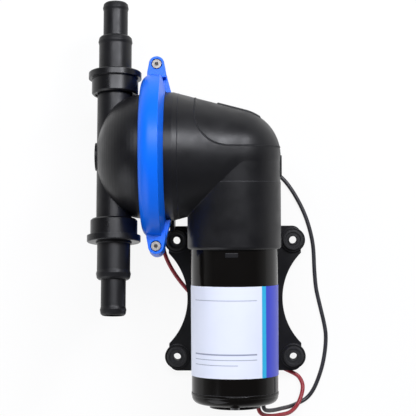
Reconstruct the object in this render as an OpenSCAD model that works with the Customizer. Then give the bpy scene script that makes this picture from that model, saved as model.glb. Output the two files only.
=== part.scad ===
// Diaphragm shower-drain pump, lying on its four rubber feet.
// X points from the motor axis away from the pump head, Y along the motor axis towards the elbow,
// and Z up from the surface. The origin is the centre of the four mounting holes.
// The motor axis runs along Y at X = 0, and the diaphragm axis runs along X.

/* [Layout] */
// Height of the motor axis and the diaphragm axis above the surface
axis_z = 68; // [67:0.5:80]
// Distance of the diaphragm axis from the centre of the mounting holes
head_y = 113; // [112:0.5:118]
// Distance of the diaphragm's plane from the motor axis
joint_out = 60; // [57:0.5:64]
// Distance of the tee's axis from the diaphragm's plane
tee_out = 32; // [30:0.5:36]
// Angle that the pump head and its clamp ring are turned by, about the diaphragm axis
head_turn = 9.5; // [0:0.5:15]

/* [Motor] */
// Step from the elbow housing's outside in to the motor can
motor_step = 2.7; // [2.4:0.1:3]
// Wall of the motor can
can_wall = 1.8; // [1.2:0.1:2]
// Length of the motor can
can_len = 116; // [112:0.5:120]
// Radius of the motor shaft
shaft_r = 3; // [2.5:0.1:3.2]
// Depth of the end bell from the can to its flat face
bell_depth = 8.8; // [8:0.1:10]
// Step from the motor's outside in to the round boss on the end bell
boss_step = 13.6; // [13.4:0.1:16]
// Height of the boss over the end bell's flat face
bell_boss_h = 3.2; // [3:0.1:6]
// Rounding of the end bell's rim
bell_round = 6; // [4:0.1:6.4]
// Gap between the armature core and the magnets
air_gap = 1; // [0.6:0.1:2]
// Length of the armature core
core_len = 60; // [50:1:64]
// Thickness of the two arc magnets
magnet_t = 6.2; // [5:0.1:6.4]
// Angle that each magnet spans
magnet_span = 110; // [90:1:120]
// Length of the magnets
magnet_len = 74; // [60:1:76]
// Radius of the commutator
commutator_r = 9.5; // [8:0.1:10.5]
// Length of the commutator
commutator_len = 12; // [10:0.5:13]

/* [Label] */
// Length of the label along the motor
label_len = 69; // [60:1:76]
// Distance of the label's upper edge from the elbow housing's rim
label_gap = 27.5; // [20:0.5:30]
// Thickness of the label
label_t = 0.25; // [0.2:0.05:0.5]
// Angle that the label wraps round the motor
label_span = 250; // [200:5:300]

/* [Gearbox] */
// Wall of the ring gear behind its teeth
gear_rim = 5.8; // [4.5:0.1:6]
// Width of the ring gear
ring_gear_w = 15; // [13:0.5:16]
// Width of the planet gears
planet_w = 13; // [10:0.5:13]
// Radius of the planet pins
pin_r = 2.5; // [2:0.1:2.8]
// Thickness of the planet carrier's disc
carrier_t = 3; // [2.5:0.1:3.4]
// Radius of the output shaft
output_r = 5; // [4.6:0.1:5.4]
// Throw of the eccentric: half the diaphragm's stroke
throw = 3; // [2:0.1:3.4]
// Thickness of the motor's mounting plate
plate_t = 6; // [5.5:0.1:7]

/* [Elbow housing] */
// Outer radius of the upright part of the housing, and of its elbow
housing_r = 36; // [35.8:0.1:38]
// Wall of the housing
housing_wall = 3; // [2.5:0.1:3.2]
// Outer radius of the barrel where it leaves the clamp ring
barrel_r = 49.3; // [48.8:0.1:49.8]
// Straight length of the barrel beside the clamp ring, before it tapers
barrel_straight = 9; // [8:0.5:12]
// Distance of the housing's lower rim from the centre of the mounting holes
rim_y = 41.5; // [40:0.5:42]
// Rounding of the housing's lower rim
rim_round = 2.2; // [1:0.1:2.4]
// Depth that the motor goes into the housing
skirt_depth = 6.5; // [6:0.1:8]
// Thickness of the web that holds the output bearing
web_t = 9.5; // [9:0.1:11]
// Distance of the elbow cover's upright seam from the motor axis
seam_x = 29.5; // [28:0.5:31]
// Distance of the cover's level seam above the diaphragm axis
seam_y = 6.5; // [5:0.5:8]
// Radius of the bend in the cover's seam
seam_r = 26; // [22:0.5:27]

/* [Pump head] */
// Step from the barrel's outside in to the domed head
dome_step = 1.6; // [1.4:0.1:2]
// Depth of the dome beyond the clamp ring
dome_depth = 34.7; // [34:0.1:38]
// Radius of the flat pad at the dome's nose
nose_r = 10.8; // [8:0.1:12]
// Height of the nose pad
nose_h = 0.8; // [0.5:0.1:1.5]
// Wall of the dome
head_wall = 3; // [2.5:0.1:3.4]
// Outer radius of the tee tube
tee_r = 13.6; // [13.2:0.1:14]
// Bore radius of the tee tube
tee_bore_r = 9.6; // [9.4:0.1:10]
// Distance of the tee tube's end faces from its middle
tee_half = 58.4; // [56:0.2:60]
// Width of the flanges that the clamp ring grips, beyond the barrel
flange_w = 7.7; // [7:0.1:8]
// Thickness of the head's flange
head_flange_t = 6; // [5:0.1:7]
// Thickness of the housing's flange
housing_flange_t = 3.5; // [3:0.1:4]

/* [Clamp ring] */
// Wall of the clamp ring outside the flanges
ring_wall = 6.5; // [6:0.1:7.5]
// Rounding of the ring's shoulder on the pump head's side
ring_round = 9; // [6:0.1:9.5]
// Width of the bevel on the housing's side
ring_bevel = 3.4; // [2:0.1:3.6]
// Thickness of the ring's two lips
lip_t = 3; // [2.8:0.1:4]
// Distance of the clamp screws out from the ring
lug_reach = 7.5; // [6.5:0.1:8]
// Radius of the lug round its screw
lug_r = 6; // [5.6:0.1:7]
// Width of the lug where it leaves the ring
lug_w = 14.5; // [13.5:0.1:15.5]
// Thickness of each half's lug
lug_t = 10; // [9:0.1:12]
// Opening between the two halves of the ring
split_gap = 0.5; // [0.3:0.1:1]

/* [Ports] */
// Radius of the hose barb for the larger hose
big_barb_r = 12.7; // [12.5:0.1:13]
// Radius of the hose barb for the smaller hose
small_barb_r = 9.5; // [9:0.1:10]
// Height of the ridges on the barbs
barb_ridge = 0.6; // [0.3:0.1:0.8]
// Length of each barb
barb_len = 27.4; // [24:0.2:30]
// Bore radius of the port
port_bore_r = 7.5; // [6.5:0.1:8]
// Radius of the collar's body
collar_r = 18; // [17.5:0.1:19]
// Radius of the collar's end flange
collar_flange_r = 20.5; // [20:0.1:22]
// Length of the collar's body
collar_len = 12.8; // [12:0.1:14]
// Thickness of the collar's end flange
collar_flange_t = 5; // [4.5:0.1:6]

/* [Diaphragm] */
// Thickness of the diaphragm's clamped edge
bead_t = 3; // [2.5:0.1:3.5]
// Thickness of the diaphragm's moving part
membrane_t = 2; // [1.5:0.1:2.4]
// Height of the diaphragm's roll
roll_h = 4.5; // [3:0.1:5]
// Width of the diaphragm's roll
roll_w = 11.9; // [11:0.1:15]
// Thickness of the two clamping plates
disc_t = 3; // [2.5:0.1:3.2]

/* [Base] */
// Distance between the mounting holes, along X and along Y
hole_pitch = 94; // [92:0.5:96]
// Radius of the mounting holes
hole_r = 3; // [2.5:0.1:3.2]
// Half the width of the base plate at its ends
plate_half_x = 53.5; // [52:0.5:55]
// Half the length of the base plate
plate_half_y = 58.5; // [57:0.5:60]
// Radius of the plate's corners
corner_r = 7; // [4:0.5:9]
// Half the width of the plate at its waist
waist_half = 38.5; // [36:0.5:42]
// Radius of the curve along the waist
waist_r = 52; // [48:1:60]
// Height of the plate's underside above the surface
plate_z = 4; // [3.6:0.1:5]
// Thickness of the base plate
base_t = 5; // [4:0.1:6]
// Radius of the boss round each rubber foot
foot_boss_r = 9.9; // [9:0.1:11]
// Height of that boss over the plate
foot_boss_h = 2; // [1:0.1:3]
// Radius of a rubber foot where it stands on the surface
foot_r = 9.5; // [8.5:0.1:9.8]
// Radius of a rubber foot's upper rim
foot_top_r = 8.2; // [7.6:0.1:9]

/* [Leads] */
// Radius of each lead over its insulation
lead_r = 1.65; // [1.4:0.05:1.65]
// Length of bare strand at each lead's end
strip_len = 8; // [5:0.5:10]

/* [Hidden] */
$fn = 96;
// Overrun of every cut past the face it cuts
cut = 1;
// Gap between pieces that only lie beside each other
slack = 0.1;
// Gap at the cover's seam
seam_gap = 0.2;
// Radial clearance of a shaft in its bearing
run_gap = 0.05;
// Gap between the magnets and the can
magnet_gap = 0.1;

// Radii that follow the elbow housing's
motor_r = housing_r - motor_step;
bell_boss_r = motor_r - boss_step;
magnet_in_r = motor_r - can_wall - magnet_gap - magnet_t;
core_r = magnet_in_r - air_gap;

// Radii that follow the barrel's
dome_r = barrel_r - dome_step;
flange_r = barrel_r + flange_w;
ring_r = flange_r + ring_wall;
lug_out = ring_r + lug_reach;

// Stack of pieces along the motor axis, from the motor to the top bearing
front_y = rim_y + skirt_depth;
can_back_y = front_y - can_len;
bell_face_y = can_back_y - bell_depth;
bell_end_y = bell_face_y - bell_boss_h;
plate_top_y = front_y + plate_t;
gear_top_y = plate_top_y + ring_gear_w;
carrier_gap = 0.3;
carrier_y = gear_top_y + carrier_gap;
web_clear = 2.2;
web_y = carrier_y + carrier_t + web_clear;
web_top_y = web_y + web_t;

// Places along the diaphragm axis
joint_x = -joint_out;
tee_x = joint_x - tee_out;
head_face_x = joint_x - bead_t / 2;
housing_face_x = joint_x + bead_t / 2;
head_flange_x = head_face_x - head_flange_t;
housing_flange_x = housing_face_x + housing_flange_t;
ring_left_x = head_flange_x - lip_t;
ring_right_x = housing_flange_x + lip_t;
dome_x = ring_left_x - 5 * slack;
barrel_end_x = housing_flange_x + barrel_straight;

// Bearings: bore radius, outer radius, width, ball radius and number of balls
lower_bearing_r = 13;
lower_bearing_w = 8;
upper_bearing_r = 11;
upper_bearing_w = 7;
shaft_step = 1;
upper_shaft_r = output_r - shaft_step;
rod_bearing_r = 16;
rod_bearing_w = 9;
hub_r = output_r * 2;
upper_bearing_out = 15;
upper_bearing_y = head_y + upper_bearing_out;
bearing_lip = 3;
shaft_room = 2;
top_boss_wall = 3.5;

// Colours
black_plastic = [0.14, 0.14, 0.15];
dark_plastic = [0.09, 0.09, 0.1];
ring_blue = [0.1, 0.42, 0.95];
steel = [0.78, 0.78, 0.76];
dark_steel = [0.45, 0.45, 0.47];
brass = [0.8, 0.65, 0.35];
copper = [0.75, 0.42, 0.22];
rubber_black = [0.12, 0.12, 0.13];
valve_grey = [0.55, 0.57, 0.6];
label_white = [0.9, 0.91, 0.97];
gear_white = [0.9, 0.88, 0.8];
magnet_grey = [0.25, 0.25, 0.27];
lead_black = [0.16, 0.16, 0.18];
lead_red = [0.66, 0.12, 0.18];

// Puts a shape drawn along +Z onto the motor axis, with its zero at the given Y
module on_motor(y) {
    translate([0, y, axis_z]) rotate([-90, 0, 0]) children();
}

// Puts a shape drawn along +Z onto the diaphragm axis, with its zero at the given X
module on_head(x) {
    translate([x, head_y, axis_z]) rotate([0, 90, 0]) children();
}

// Turns a piece along with the pump head, which the clamp ring holds at an angle
module turned() {
    translate([0, head_y, axis_z]) rotate([-head_turn, 0, 0]) translate([0, -head_y, -axis_z]) children();
}

// Hollow cylinder along Z
module tube(outer, inner, length) {
    difference() {
        cylinder(r = outer, h = length);
        translate([0, 0, -cut]) cylinder(r = inner, h = length + 2 * cut);
    }
}

// Quarter of a disc in the plane, filling one corner's rounding
module quarter(radius) {
    intersection() {
        circle(r = radius);
        square(radius);
    }
}

// Pump head: a dome, the tee tube across it and the flange that the ring grips
dome_steps = 20;
spigot_r = 15.3;
spigot_len = 8.6;

// Half an ellipse from the flange to the nose, as points [radius, distance along the axis]
function dome_outline(r, depth) = concat([for (i = [0 : dome_steps]) let (a = 90 * i / dome_steps)
    [r * cos(a), depth * sin(a)]], [[0, 0]]);

module dome_solid(r, depth) {
    on_head(dome_x) mirror([0, 0, 1]) rotate_extrude() polygon(dome_outline(r, depth));
}

module pump_head() {
    color(black_plastic) turned() difference() {
        union() {
            dome_solid(dome_r, dome_depth);
            on_head(dome_x) cylinder(r = dome_r, h = head_flange_x - dome_x);
            on_head(head_flange_x) cylinder(r = flange_r, h = head_flange_t);
            on_head(dome_x - dome_depth - nose_h) cylinder(r = nose_r, h = dome_depth / 2);
            translate([tee_x, head_y - tee_half, axis_z]) rotate([-90, 0, 0])
                cylinder(r = tee_r, h = 2 * tee_half);
            for (side = [-1, 1]) translate([tee_x, head_y + side * tee_half, axis_z])
                rotate([side * 90, 0, 0]) cylinder(r = spigot_r, h = spigot_len);
        }
        dome_solid(dome_r - head_wall, dome_depth - head_wall);
        on_head(dome_x - slack) cylinder(r = dome_r - head_wall, h = joint_out);
        translate([tee_x, head_y - tee_half - cut, axis_z]) rotate([-90, 0, 0])
            cylinder(r = tee_bore_r, h = 2 * (tee_half + cut));
    }
}

// Ports: a flange held by the collar, a neck and two barbs for two hose sizes
port_flange_t = 2.5;
valve_flange_t = 2.5;
valve_r = 9.2;
valve_wall = 1.5;
valve_len = 22;
port_chamber_r = 10.6;
port_chamber_len = 24;
ridge_back = 4.4;
ridge_len = 2.2;
port_chamfer = 1.2;
neck_len = 4.3;
port_seat = tee_half + valve_flange_t + slack;
port_total = port_flange_t + neck_len + 2 * barb_len;

// Places a shape drawn along +Z so that it leaves the tee's middle on one side
module on_tee(side, out) {
    turned() translate([tee_x, head_y + side * out, axis_z]) rotate([-side * 90, 0, 0]) children();
}

module port_outline() {
    big_start = port_flange_t + neck_len;
    small_start = big_start + barb_len;
    polygon([
        [0, 0], [spigot_r, 0], [spigot_r, port_flange_t], [tee_r, port_flange_t],
        [tee_r, big_start - slack], [big_barb_r, big_start],
        [big_barb_r, small_start - ridge_back - ridge_len],
        [big_barb_r + barb_ridge, small_start - ridge_back], [big_barb_r, small_start - port_chamfer],
        [big_barb_r - port_chamfer, small_start], [small_barb_r, small_start],
        [small_barb_r, port_total - ridge_back - ridge_len],
        [small_barb_r + barb_ridge, port_total - ridge_back], [small_barb_r, port_total - port_chamfer],
        [small_barb_r - port_chamfer, port_total], [0, port_total]
    ]);
}

module port(side) {
    on_tee(side, port_seat) difference() {
        rotate_extrude() port_outline();
        translate([0, 0, -cut]) cylinder(r = port_bore_r, h = port_total + 2 * cut);
        translate([0, 0, -cut]) cylinder(r = port_chamber_r, h = port_chamber_len + cut);
    }
}

module inlet_port() {
    color(black_plastic) port(-1);
}

module outlet_port() {
    color(black_plastic) port(1);
}

// Collars: they screw onto the tee's spigots and hold the ports' flanges
collar_lip_t = 3;
collar_end = port_seat + port_flange_t + slack + collar_lip_t;
collar_start = collar_end - collar_flange_t - collar_len;
collar_chamfer = 1.2;

module collar(side) {
    grip_end = collar_len + collar_flange_t;
    on_tee(side, collar_start) difference() {
        rotate_extrude() polygon([
            [0, 0], [collar_r - collar_chamfer, 0], [collar_r, collar_chamfer], [collar_r, collar_len],
            [collar_flange_r, collar_len], [collar_flange_r, grip_end - collar_chamfer / 2],
            [collar_flange_r - collar_chamfer / 2, grip_end], [0, grip_end]
        ]);
        translate([0, 0, -cut]) cylinder(r = tee_r + 2 * slack, h = grip_end + 2 * cut);
        translate([0, 0, -cut]) cylinder(r = spigot_r + slack, h = grip_end - collar_lip_t + cut);
    }
}

module inlet_collar() {
    color(dark_plastic) collar(-1);
}

module outlet_collar() {
    color(dark_plastic) collar(1);
}

// Duckbill valve: a flange, a short tube and lips that narrow to a slit
lip_share = 0.55;
slit = 0.5;
lip_end_t = 3.2;
valve_inset = 1;

// Outline across the lips: full width up to the start of the lips, then a wedge
module bill_outline(half, end_half, length) {
    start = length * (1 - lip_share);
    polygon([
        [-half, 0], [half, 0], [half, start], [end_half, length], [-end_half, length], [-half, start]
    ]);
}

module valve() {
    inner = valve_r - valve_wall;
    difference() {
        union() {
            cylinder(r = spigot_r - valve_inset, h = valve_flange_t);
            intersection() {
                cylinder(r = valve_r, h = valve_len);
                rotate([90, 0, 0]) translate([0, 0, -2 * valve_r])
                    linear_extrude(height = 4 * valve_r) bill_outline(valve_r, lip_end_t / 2, valve_len);
            }
        }
        intersection() {
            translate([0, 0, -cut]) cylinder(r = inner, h = valve_len + 2 * cut);
            rotate([90, 0, 0]) translate([0, -slack, -2 * valve_r])
                linear_extrude(height = 4 * valve_r) bill_outline(inner, slit / 2, valve_len + 2 * slack);
        }
    }
}

module inlet_valve() {
    color(valve_grey) turned() translate([tee_x, head_y - tee_half - valve_flange_t, axis_z])
        rotate([-90, 0, 0]) valve();
}

module outlet_valve() {
    color(valve_grey) turned() translate([tee_x, head_y + tee_half, axis_z])
        rotate([-90, 0, 0]) valve();
}

// Diaphragm with its clamping plates and the screw that holds them to the rod
roll_steps = 10;
disc_margin = 1.2;
edge_margin = 1.6;
clamped_r = dome_r - head_wall - edge_margin;
roll_r = clamped_r - roll_w;
disc_r = roll_r - disc_margin;
screw_r = 3;
screw_head_r = 5.2;
screw_head_h = 4;
screw_len = 20;
centre_x = joint_x + throw;
front_plate_x = centre_x - membrane_t / 2 - slack - disc_t;
back_plate_x = centre_x + membrane_t / 2 + slack;
rod_face_x = back_plate_x + disc_t;

// Middle of the roll: it leaves the centre disc, bulges towards the head and meets the clamped edge
function roll_point(s) = [roll_r + (clamped_r - roll_r) * s,
    joint_x + throw * (1 - s) - roll_h * sin(180 * s)];

module diaphragm_outline() {
    middle = [for (i = [0 : roll_steps]) roll_point(i / roll_steps)];
    half = membrane_t / 2;
    upper = [for (p = middle) [p[0], p[1] + half]];
    lower = [for (i = [roll_steps : -1 : 0]) [middle[i][0], middle[i][1] - half]];
    edge_r = flange_r - 2 * slack;
    polygon(concat([[screw_r + slack, centre_x + half]], upper,
        [[clamped_r + bead_t / 2, joint_x + bead_t / 2], [edge_r, joint_x + bead_t / 2],
         [edge_r, joint_x - bead_t / 2], [clamped_r + bead_t / 2, joint_x - bead_t / 2]],
        lower, [[screw_r + slack, centre_x - half]]));
}

module diaphragm() {
    color(rubber_black) on_head(0) rotate_extrude() diaphragm_outline();
}

module clamping_disc() {
    rounding = disc_t / 2;
    difference() {
        rotate_extrude() {
            square([disc_r - rounding, disc_t]);
            translate([disc_r - rounding, rounding]) circle(r = rounding);
        }
        translate([0, 0, -cut]) cylinder(r = screw_r + slack, h = disc_t + 2 * cut);
    }
}

module diaphragm_front_plate() {
    color(steel) on_head(front_plate_x) clamping_disc();
}

module diaphragm_back_plate() {
    color(steel) on_head(back_plate_x) clamping_disc();
}

module diaphragm_screw() {
    hex_r = screw_r;
    color(steel) difference() {
        union() {
            on_head(front_plate_x - screw_head_h) cylinder(r = screw_head_r, h = screw_head_h);
            on_head(front_plate_x) cylinder(r = screw_r, h = screw_len);
        }
        on_head(front_plate_x - screw_head_h - cut) cylinder(r = hex_r, h = screw_head_h / 2 + cut, $fn = 6);
    }
}

// Clamp ring in two halves, split level with the diaphragm axis
groove_r = flange_r + 3 * slack;
groove_w = housing_flange_x - head_flange_x + 2 * slack;
left_bore_r = dome_r + 5 * slack;
right_bore_r = barrel_r + 5 * slack;
lug_x = ring_right_x - lug_w / 2;
lug_root = 1;
lug_base = ring_r + lug_root;
hex_share = 0.75;
gusset_out = 3.8;
gusset_t = 3.5;
clamp_screw_r = 2;
clamp_head_r = 3.6;
clamp_head_h = 2.4;
clamp_pocket_r = 4.2;
nut_across = 7;
nut_h = 3.2;
nut_r = nut_across / 2 / cos(30);

// Cross-section of the ring as [radius, X]
module ring_outline() {
    shoulder_x = ring_left_x + ring_round;
    difference() {
        union() {
            polygon([
                [0, ring_left_x], [ring_r - ring_round, ring_left_x], [ring_r - ring_round, shoulder_x],
                [ring_r, shoulder_x], [ring_r, ring_right_x - ring_bevel], [right_bore_r, ring_right_x],
                [0, ring_right_x]
            ]);
            translate([ring_r - ring_round, shoulder_x]) mirror([0, 1]) quarter(ring_round);
        }
        translate([-cut, ring_left_x - cut]) square([left_bore_r + cut, lip_t + 2 * cut]);
        translate([-cut, head_flange_x - slack]) square([groove_r + cut, groove_w]);
        translate([-cut, housing_flange_x - cut]) square([right_bore_r + cut, lip_t + 2 * cut]);
    }
}

// Lug seen from above, on the side away from the motor
module lug_outline() {
    polygon([
        [lug_x - lug_w / 2, ring_r - lip_t], [lug_x + lug_w / 2, ring_r - lip_t],
        [lug_x + lug_w / 2, lug_base], [lug_x + lug_r, lug_out],
        [lug_x - lug_r, lug_out], [lug_x - lug_w / 2, lug_base]
    ]);
    translate([lug_x, lug_out]) circle(r = lug_r);
}

// Web from the lug's flank down to the barrel
module gusset_outline() {
    polygon([
        [ring_right_x - ring_bevel, lug_base], [lug_x + lug_w / 2, lug_base],
        [ring_right_x + gusset_out, right_bore_r], [ring_right_x - slack, right_bore_r]
    ]);
}

// One half of the ring, above the split for face = 1 and below it for face = -1
module clamp_half(face) {
    reach = 2 * lug_out;
    difference() {
        union() {
            intersection() {
                on_head(0) rotate_extrude() ring_outline();
                translate([ring_left_x - reach / 2, head_y - reach, axis_z]) scale([1, 1, face])
                    translate([0, 0, split_gap / 2]) cube([reach, 2 * reach, reach]);
            }
            for (side = [-1, 1]) translate([0, head_y, axis_z]) scale([1, side, face])
                translate([0, 0, split_gap / 2]) {
                    linear_extrude(height = lug_t - split_gap / 2) lug_outline();
                    linear_extrude(height = gusset_t) gusset_outline();
                }
        }
        on_head(head_flange_x - slack) cylinder(r = groove_r, h = groove_w);
        for (side = [-1, 1]) translate([lug_x, head_y + side * lug_out, axis_z]) {
            translate([0, 0, -reach / 2]) cylinder(r = clamp_screw_r + slack, h = reach);
            if (face > 0) translate([0, 0, lug_t - clamp_head_h]) cylinder(r = clamp_pocket_r, h = reach);
            else translate([0, 0, -lug_t - cut])
                cylinder(r = nut_r + slack, h = nut_h + 2 * slack + cut, $fn = 6);
        }
    }
}

module clamp_front_half() {
    color(ring_blue) turned() clamp_half(1);
}

module clamp_rear_half() {
    color(ring_blue) turned() clamp_half(-1);
}

module clamp_screws() {
    hex_r = clamp_screw_r * hex_share;
    color(steel) turned() for (side = [-1, 1])
        translate([lug_x, head_y + side * lug_out, axis_z]) difference() {
        union() {
            translate([0, 0, lug_t - clamp_head_h]) cylinder(r = clamp_head_r, h = clamp_head_h);
            translate([0, 0, -lug_t + slack]) cylinder(r = clamp_screw_r, h = 2 * lug_t - clamp_head_h);
        }
        translate([0, 0, lug_t - clamp_head_h / 2]) cylinder(r = hex_r, h = clamp_head_h, $fn = 6);
    }
}

module clamp_nuts() {
    color(steel) turned() for (side = [-1, 1])
        translate([lug_x, head_y + side * lug_out, axis_z - lug_t + slack])
        difference() {
            cylinder(r = nut_r, h = nut_h, $fn = 6);
            translate([0, 0, -cut]) cylinder(r = clamp_screw_r, h = nut_h + 2 * cut);
        }
}

// Elbow housing: an upright tube, and a barrel that tapers onto a spherical end.
// The end stands a little proud of the tube, and the taper is the line that touches it.
skirt_bore_r = motor_r + slack;
gear_shelf = 2;
gear_bore_r = housing_r - housing_wall - gear_shelf;
crank_r = housing_r - housing_wall;
elbow_step = 0.3;
elbow_step_out = 20;
step_y = head_y - elbow_step_out;

function taper_angle(start_r, ball_r) =
    acos(ball_r / norm([barrel_end_x, start_r])) - atan2(-barrel_end_x, start_r);

// Half the barrel's outline as [radius, X], from the flange to where the taper touches the end
function barrel_outline(start_r, ball_r) = let (a = taper_angle(start_r, ball_r)) [
    [0, housing_face_x - cut], [start_r, housing_face_x - cut], [start_r, barrel_end_x],
    [ball_r * cos(a), ball_r * sin(a)], [0, ball_r * sin(a)]
];

module elbow_form(ball_r, start_r, low_y) {
    end_x = ball_r * sin(taper_angle(start_r, ball_r));
    on_motor(low_y) cylinder(r = ball_r - elbow_step, h = head_y - low_y);
    on_head(0) rotate_extrude() {
        polygon(barrel_outline(start_r, ball_r));
        intersection() {
            circle(r = ball_r);
            translate([0, end_x - slack]) square([ball_r, ball_r]);
        }
    }
}

module housing_outside() {
    difference() {
        union() {
            elbow_form(housing_r, barrel_r, rim_y + rim_round);
            on_motor(rim_y) rotate_extrude() {
                square([housing_r - rim_round, step_y - rim_y]);
                translate([0, rim_round]) square([housing_r, step_y - rim_y - rim_round]);
                translate([housing_r - rim_round, rim_round]) mirror([0, 1]) quarter(rim_round);
            }
            on_head(housing_face_x) cylinder(r = flange_r, h = housing_flange_t);
        }
        on_head(housing_face_x - 2 * cut) cylinder(r = flange_r + cut, h = 2 * cut);
    }
}

module crank_room() {
    elbow_form(crank_r, barrel_r - housing_wall, web_top_y);
    on_head(housing_face_x - 2 * cut) cylinder(r = barrel_r - housing_wall, h = 3 * cut);
}

// Region of the cover seen from the front, grown or shrunk by an offset of its seam
module cover_region(grow) {
    reach = 2 * housing_r;
    radius = seam_r + grow;
    corner = [seam_r - seam_x, head_y + seam_y + seam_r];
    translate([0, 0, axis_z - reach]) linear_extrude(height = 2 * reach) {
        translate(corner) circle(r = radius);
        translate([corner[0] - radius, corner[1]]) square([reach * 2, reach]);
        translate([corner[0], corner[1] - radius]) square([reach * 2, reach]);
    }
}

base_screw_x = 14;
base_screw_r = 2;
base_screw_y = front_y + plate_t / 2;

module crank_housing() {
    color(black_plastic) difference() {
        housing_outside();
        crank_room();
        on_motor(rim_y - cut) cylinder(r = skirt_bore_r, h = plate_top_y - rim_y + cut);
        on_motor(plate_top_y - cut) cylinder(r = gear_bore_r, h = web_y - plate_top_y + cut);
        on_motor(web_y - cut) cylinder(r = lower_bearing_r, h = lower_bearing_w + cut);
        on_motor(web_y) cylinder(r = lower_bearing_r - bearing_lip, h = web_t + cut);
        cover_region(seam_gap);
        for (side = [-1, 1]) translate([side * base_screw_x, base_screw_y, axis_z - housing_r])
            cylinder(r = base_screw_r + slack, h = housing_r / 2);
    }
}

module crank_cover() {
    boss_r = upper_bearing_r + top_boss_wall;
    boss_y = upper_bearing_y - shaft_step;
    color(black_plastic) difference() {
        intersection() {
            union() {
                difference() {
                    housing_outside();
                    crank_room();
                }
                intersection() {
                    on_motor(boss_y) cylinder(r = boss_r, h = housing_r);
                    translate([0, head_y, axis_z]) sphere(r = housing_r - housing_wall / 2);
                }
            }
            cover_region(0);
        }
        on_motor(boss_y - cut) cylinder(r = upper_bearing_r, h = upper_bearing_w + shaft_step + cut);
        on_motor(upper_bearing_y) cylinder(r = output_r, h = upper_bearing_w + shaft_room);
    }
}

// Ball bearings: two races with a groove and a ring of balls
ball_gap = 0.08;
race_share = 0.55;

function ball_pitch(bore, outer) = (bore + outer) / 2;

module race(inner, outer, pitch, width, ball_r) {
    rotate_extrude() difference() {
        translate([inner, 0]) square([outer - inner, width]);
        translate([pitch, width / 2]) circle(r = ball_r + ball_gap, $fn = 48);
    }
}

module outer_race(bore, outer, width, ball_r) {
    pitch = ball_pitch(bore, outer);
    race(pitch + ball_r * race_share, outer, pitch, width, ball_r);
}

module inner_race(bore, outer, width, ball_r) {
    pitch = ball_pitch(bore, outer);
    race(bore, pitch - ball_r * race_share, pitch, width, ball_r);
}

module ball_ring(bore, outer, width, ball_r, count) {
    for (i = [0 : count - 1]) rotate([0, 0, 360 * i / count])
        translate([ball_pitch(bore, outer), 0, width / 2]) sphere(r = ball_r, $fn = 32);
}

lower_ball_r = (lower_bearing_r - output_r) / 4;
upper_ball_r = (upper_bearing_r - upper_shaft_r) / 4;
rod_ball_r = (rod_bearing_r - hub_r) / 4;
lower_balls = 9;
upper_balls = 8;
rod_balls = 15;

module lower_bearing_outer() {
    color(steel) on_motor(web_y) outer_race(output_r, lower_bearing_r, lower_bearing_w, lower_ball_r);
}

module lower_bearing_balls() {
    color(steel) on_motor(web_y)
        ball_ring(output_r, lower_bearing_r, lower_bearing_w, lower_ball_r, lower_balls);
}

module lower_bearing_inner() {
    color(steel) on_motor(web_y) inner_race(output_r, lower_bearing_r, lower_bearing_w, lower_ball_r);
}

module upper_bearing_outer() {
    color(steel) on_motor(upper_bearing_y)
        outer_race(upper_shaft_r, upper_bearing_r, upper_bearing_w, upper_ball_r);
}

module upper_bearing_balls() {
    color(steel) on_motor(upper_bearing_y)
        ball_ring(upper_shaft_r, upper_bearing_r, upper_bearing_w, upper_ball_r, upper_balls);
}

module upper_bearing_inner() {
    color(steel) on_motor(upper_bearing_y)
        inner_race(upper_shaft_r, upper_bearing_r, upper_bearing_w, upper_ball_r);
}

// Puts a shape drawn along +Z onto the eccentric's axis, centred on the diaphragm axis
module on_crank(length) {
    translate([throw, 0, 0]) on_motor(head_y - length / 2) children();
}

module rod_bearing_outer() {
    color(steel) on_crank(rod_bearing_w) outer_race(hub_r, rod_bearing_r, rod_bearing_w, rod_ball_r);
}

module rod_bearing_balls() {
    color(steel) on_crank(rod_bearing_w)
        ball_ring(hub_r, rod_bearing_r, rod_bearing_w, rod_ball_r, rod_balls);
}

module rod_bearing_inner() {
    color(steel) on_crank(rod_bearing_w) inner_race(hub_r, rod_bearing_r, rod_bearing_w, rod_ball_r);
}

// Connecting rod from the eccentric's bearing to the diaphragm's plates
rod_end_wall = 4;
rod_w = 10;
shank_w = 14;
rod_end_t = 4;
rod_end_r = 12;

module connecting_rod() {
    shank_len = throw - rod_face_x - rod_end_t / 2;
    color(gear_white) difference() {
        union() {
            on_crank(rod_w) cylinder(r = rod_bearing_r + rod_end_wall, h = rod_w);
            on_head(rod_face_x) cylinder(r = rod_end_r, h = rod_end_t);
            translate([rod_face_x + rod_end_t / 2, head_y - rod_w / 2, axis_z - shank_w / 2])
                cube([shank_len, rod_w, shank_w]);
        }
        on_crank(rod_w + 2 * cut) cylinder(r = rod_bearing_r, h = rod_w + 2 * cut);
        on_head(rod_face_x - cut) cylinder(r = screw_r, h = screw_len - disc_t);
    }
}

// Eccentric: an offset hub with its balance weight, fixed to the output shaft by a grub screw
weight_t = 8;
weight_gap = 2;
weight_r = 24;
weight_side = 2;
collar_out_r = 10;
grub_r = 2;
hub_proud = 1;
hub_top = rod_bearing_w / 2 + hub_proud;
weight_y = head_y - rod_w / 2 - weight_gap - weight_t;

module eccentric() {
    color(dark_steel) difference() {
        union() {
            translate([throw, 0, 0]) on_motor(weight_y + weight_t)
                cylinder(r = hub_r, h = head_y + hub_top - weight_y - weight_t);
            on_motor(weight_y) cylinder(r = collar_out_r, h = weight_t);
            intersection() {
                on_motor(weight_y) cylinder(r = weight_r, h = weight_t);
                translate([-weight_side - 2 * weight_r, weight_y, axis_z - weight_r])
                    cube([2 * weight_r, weight_t, 2 * weight_r]);
            }
        }
        on_motor(weight_y - cut) cylinder(r = output_r, h = head_y + hub_top - weight_y + 2 * cut);
        translate([0, weight_y + weight_t / 2, axis_z]) rotate([0, 90, 0])
            cylinder(r = grub_r, h = 2 * collar_out_r);
    }
}

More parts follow.
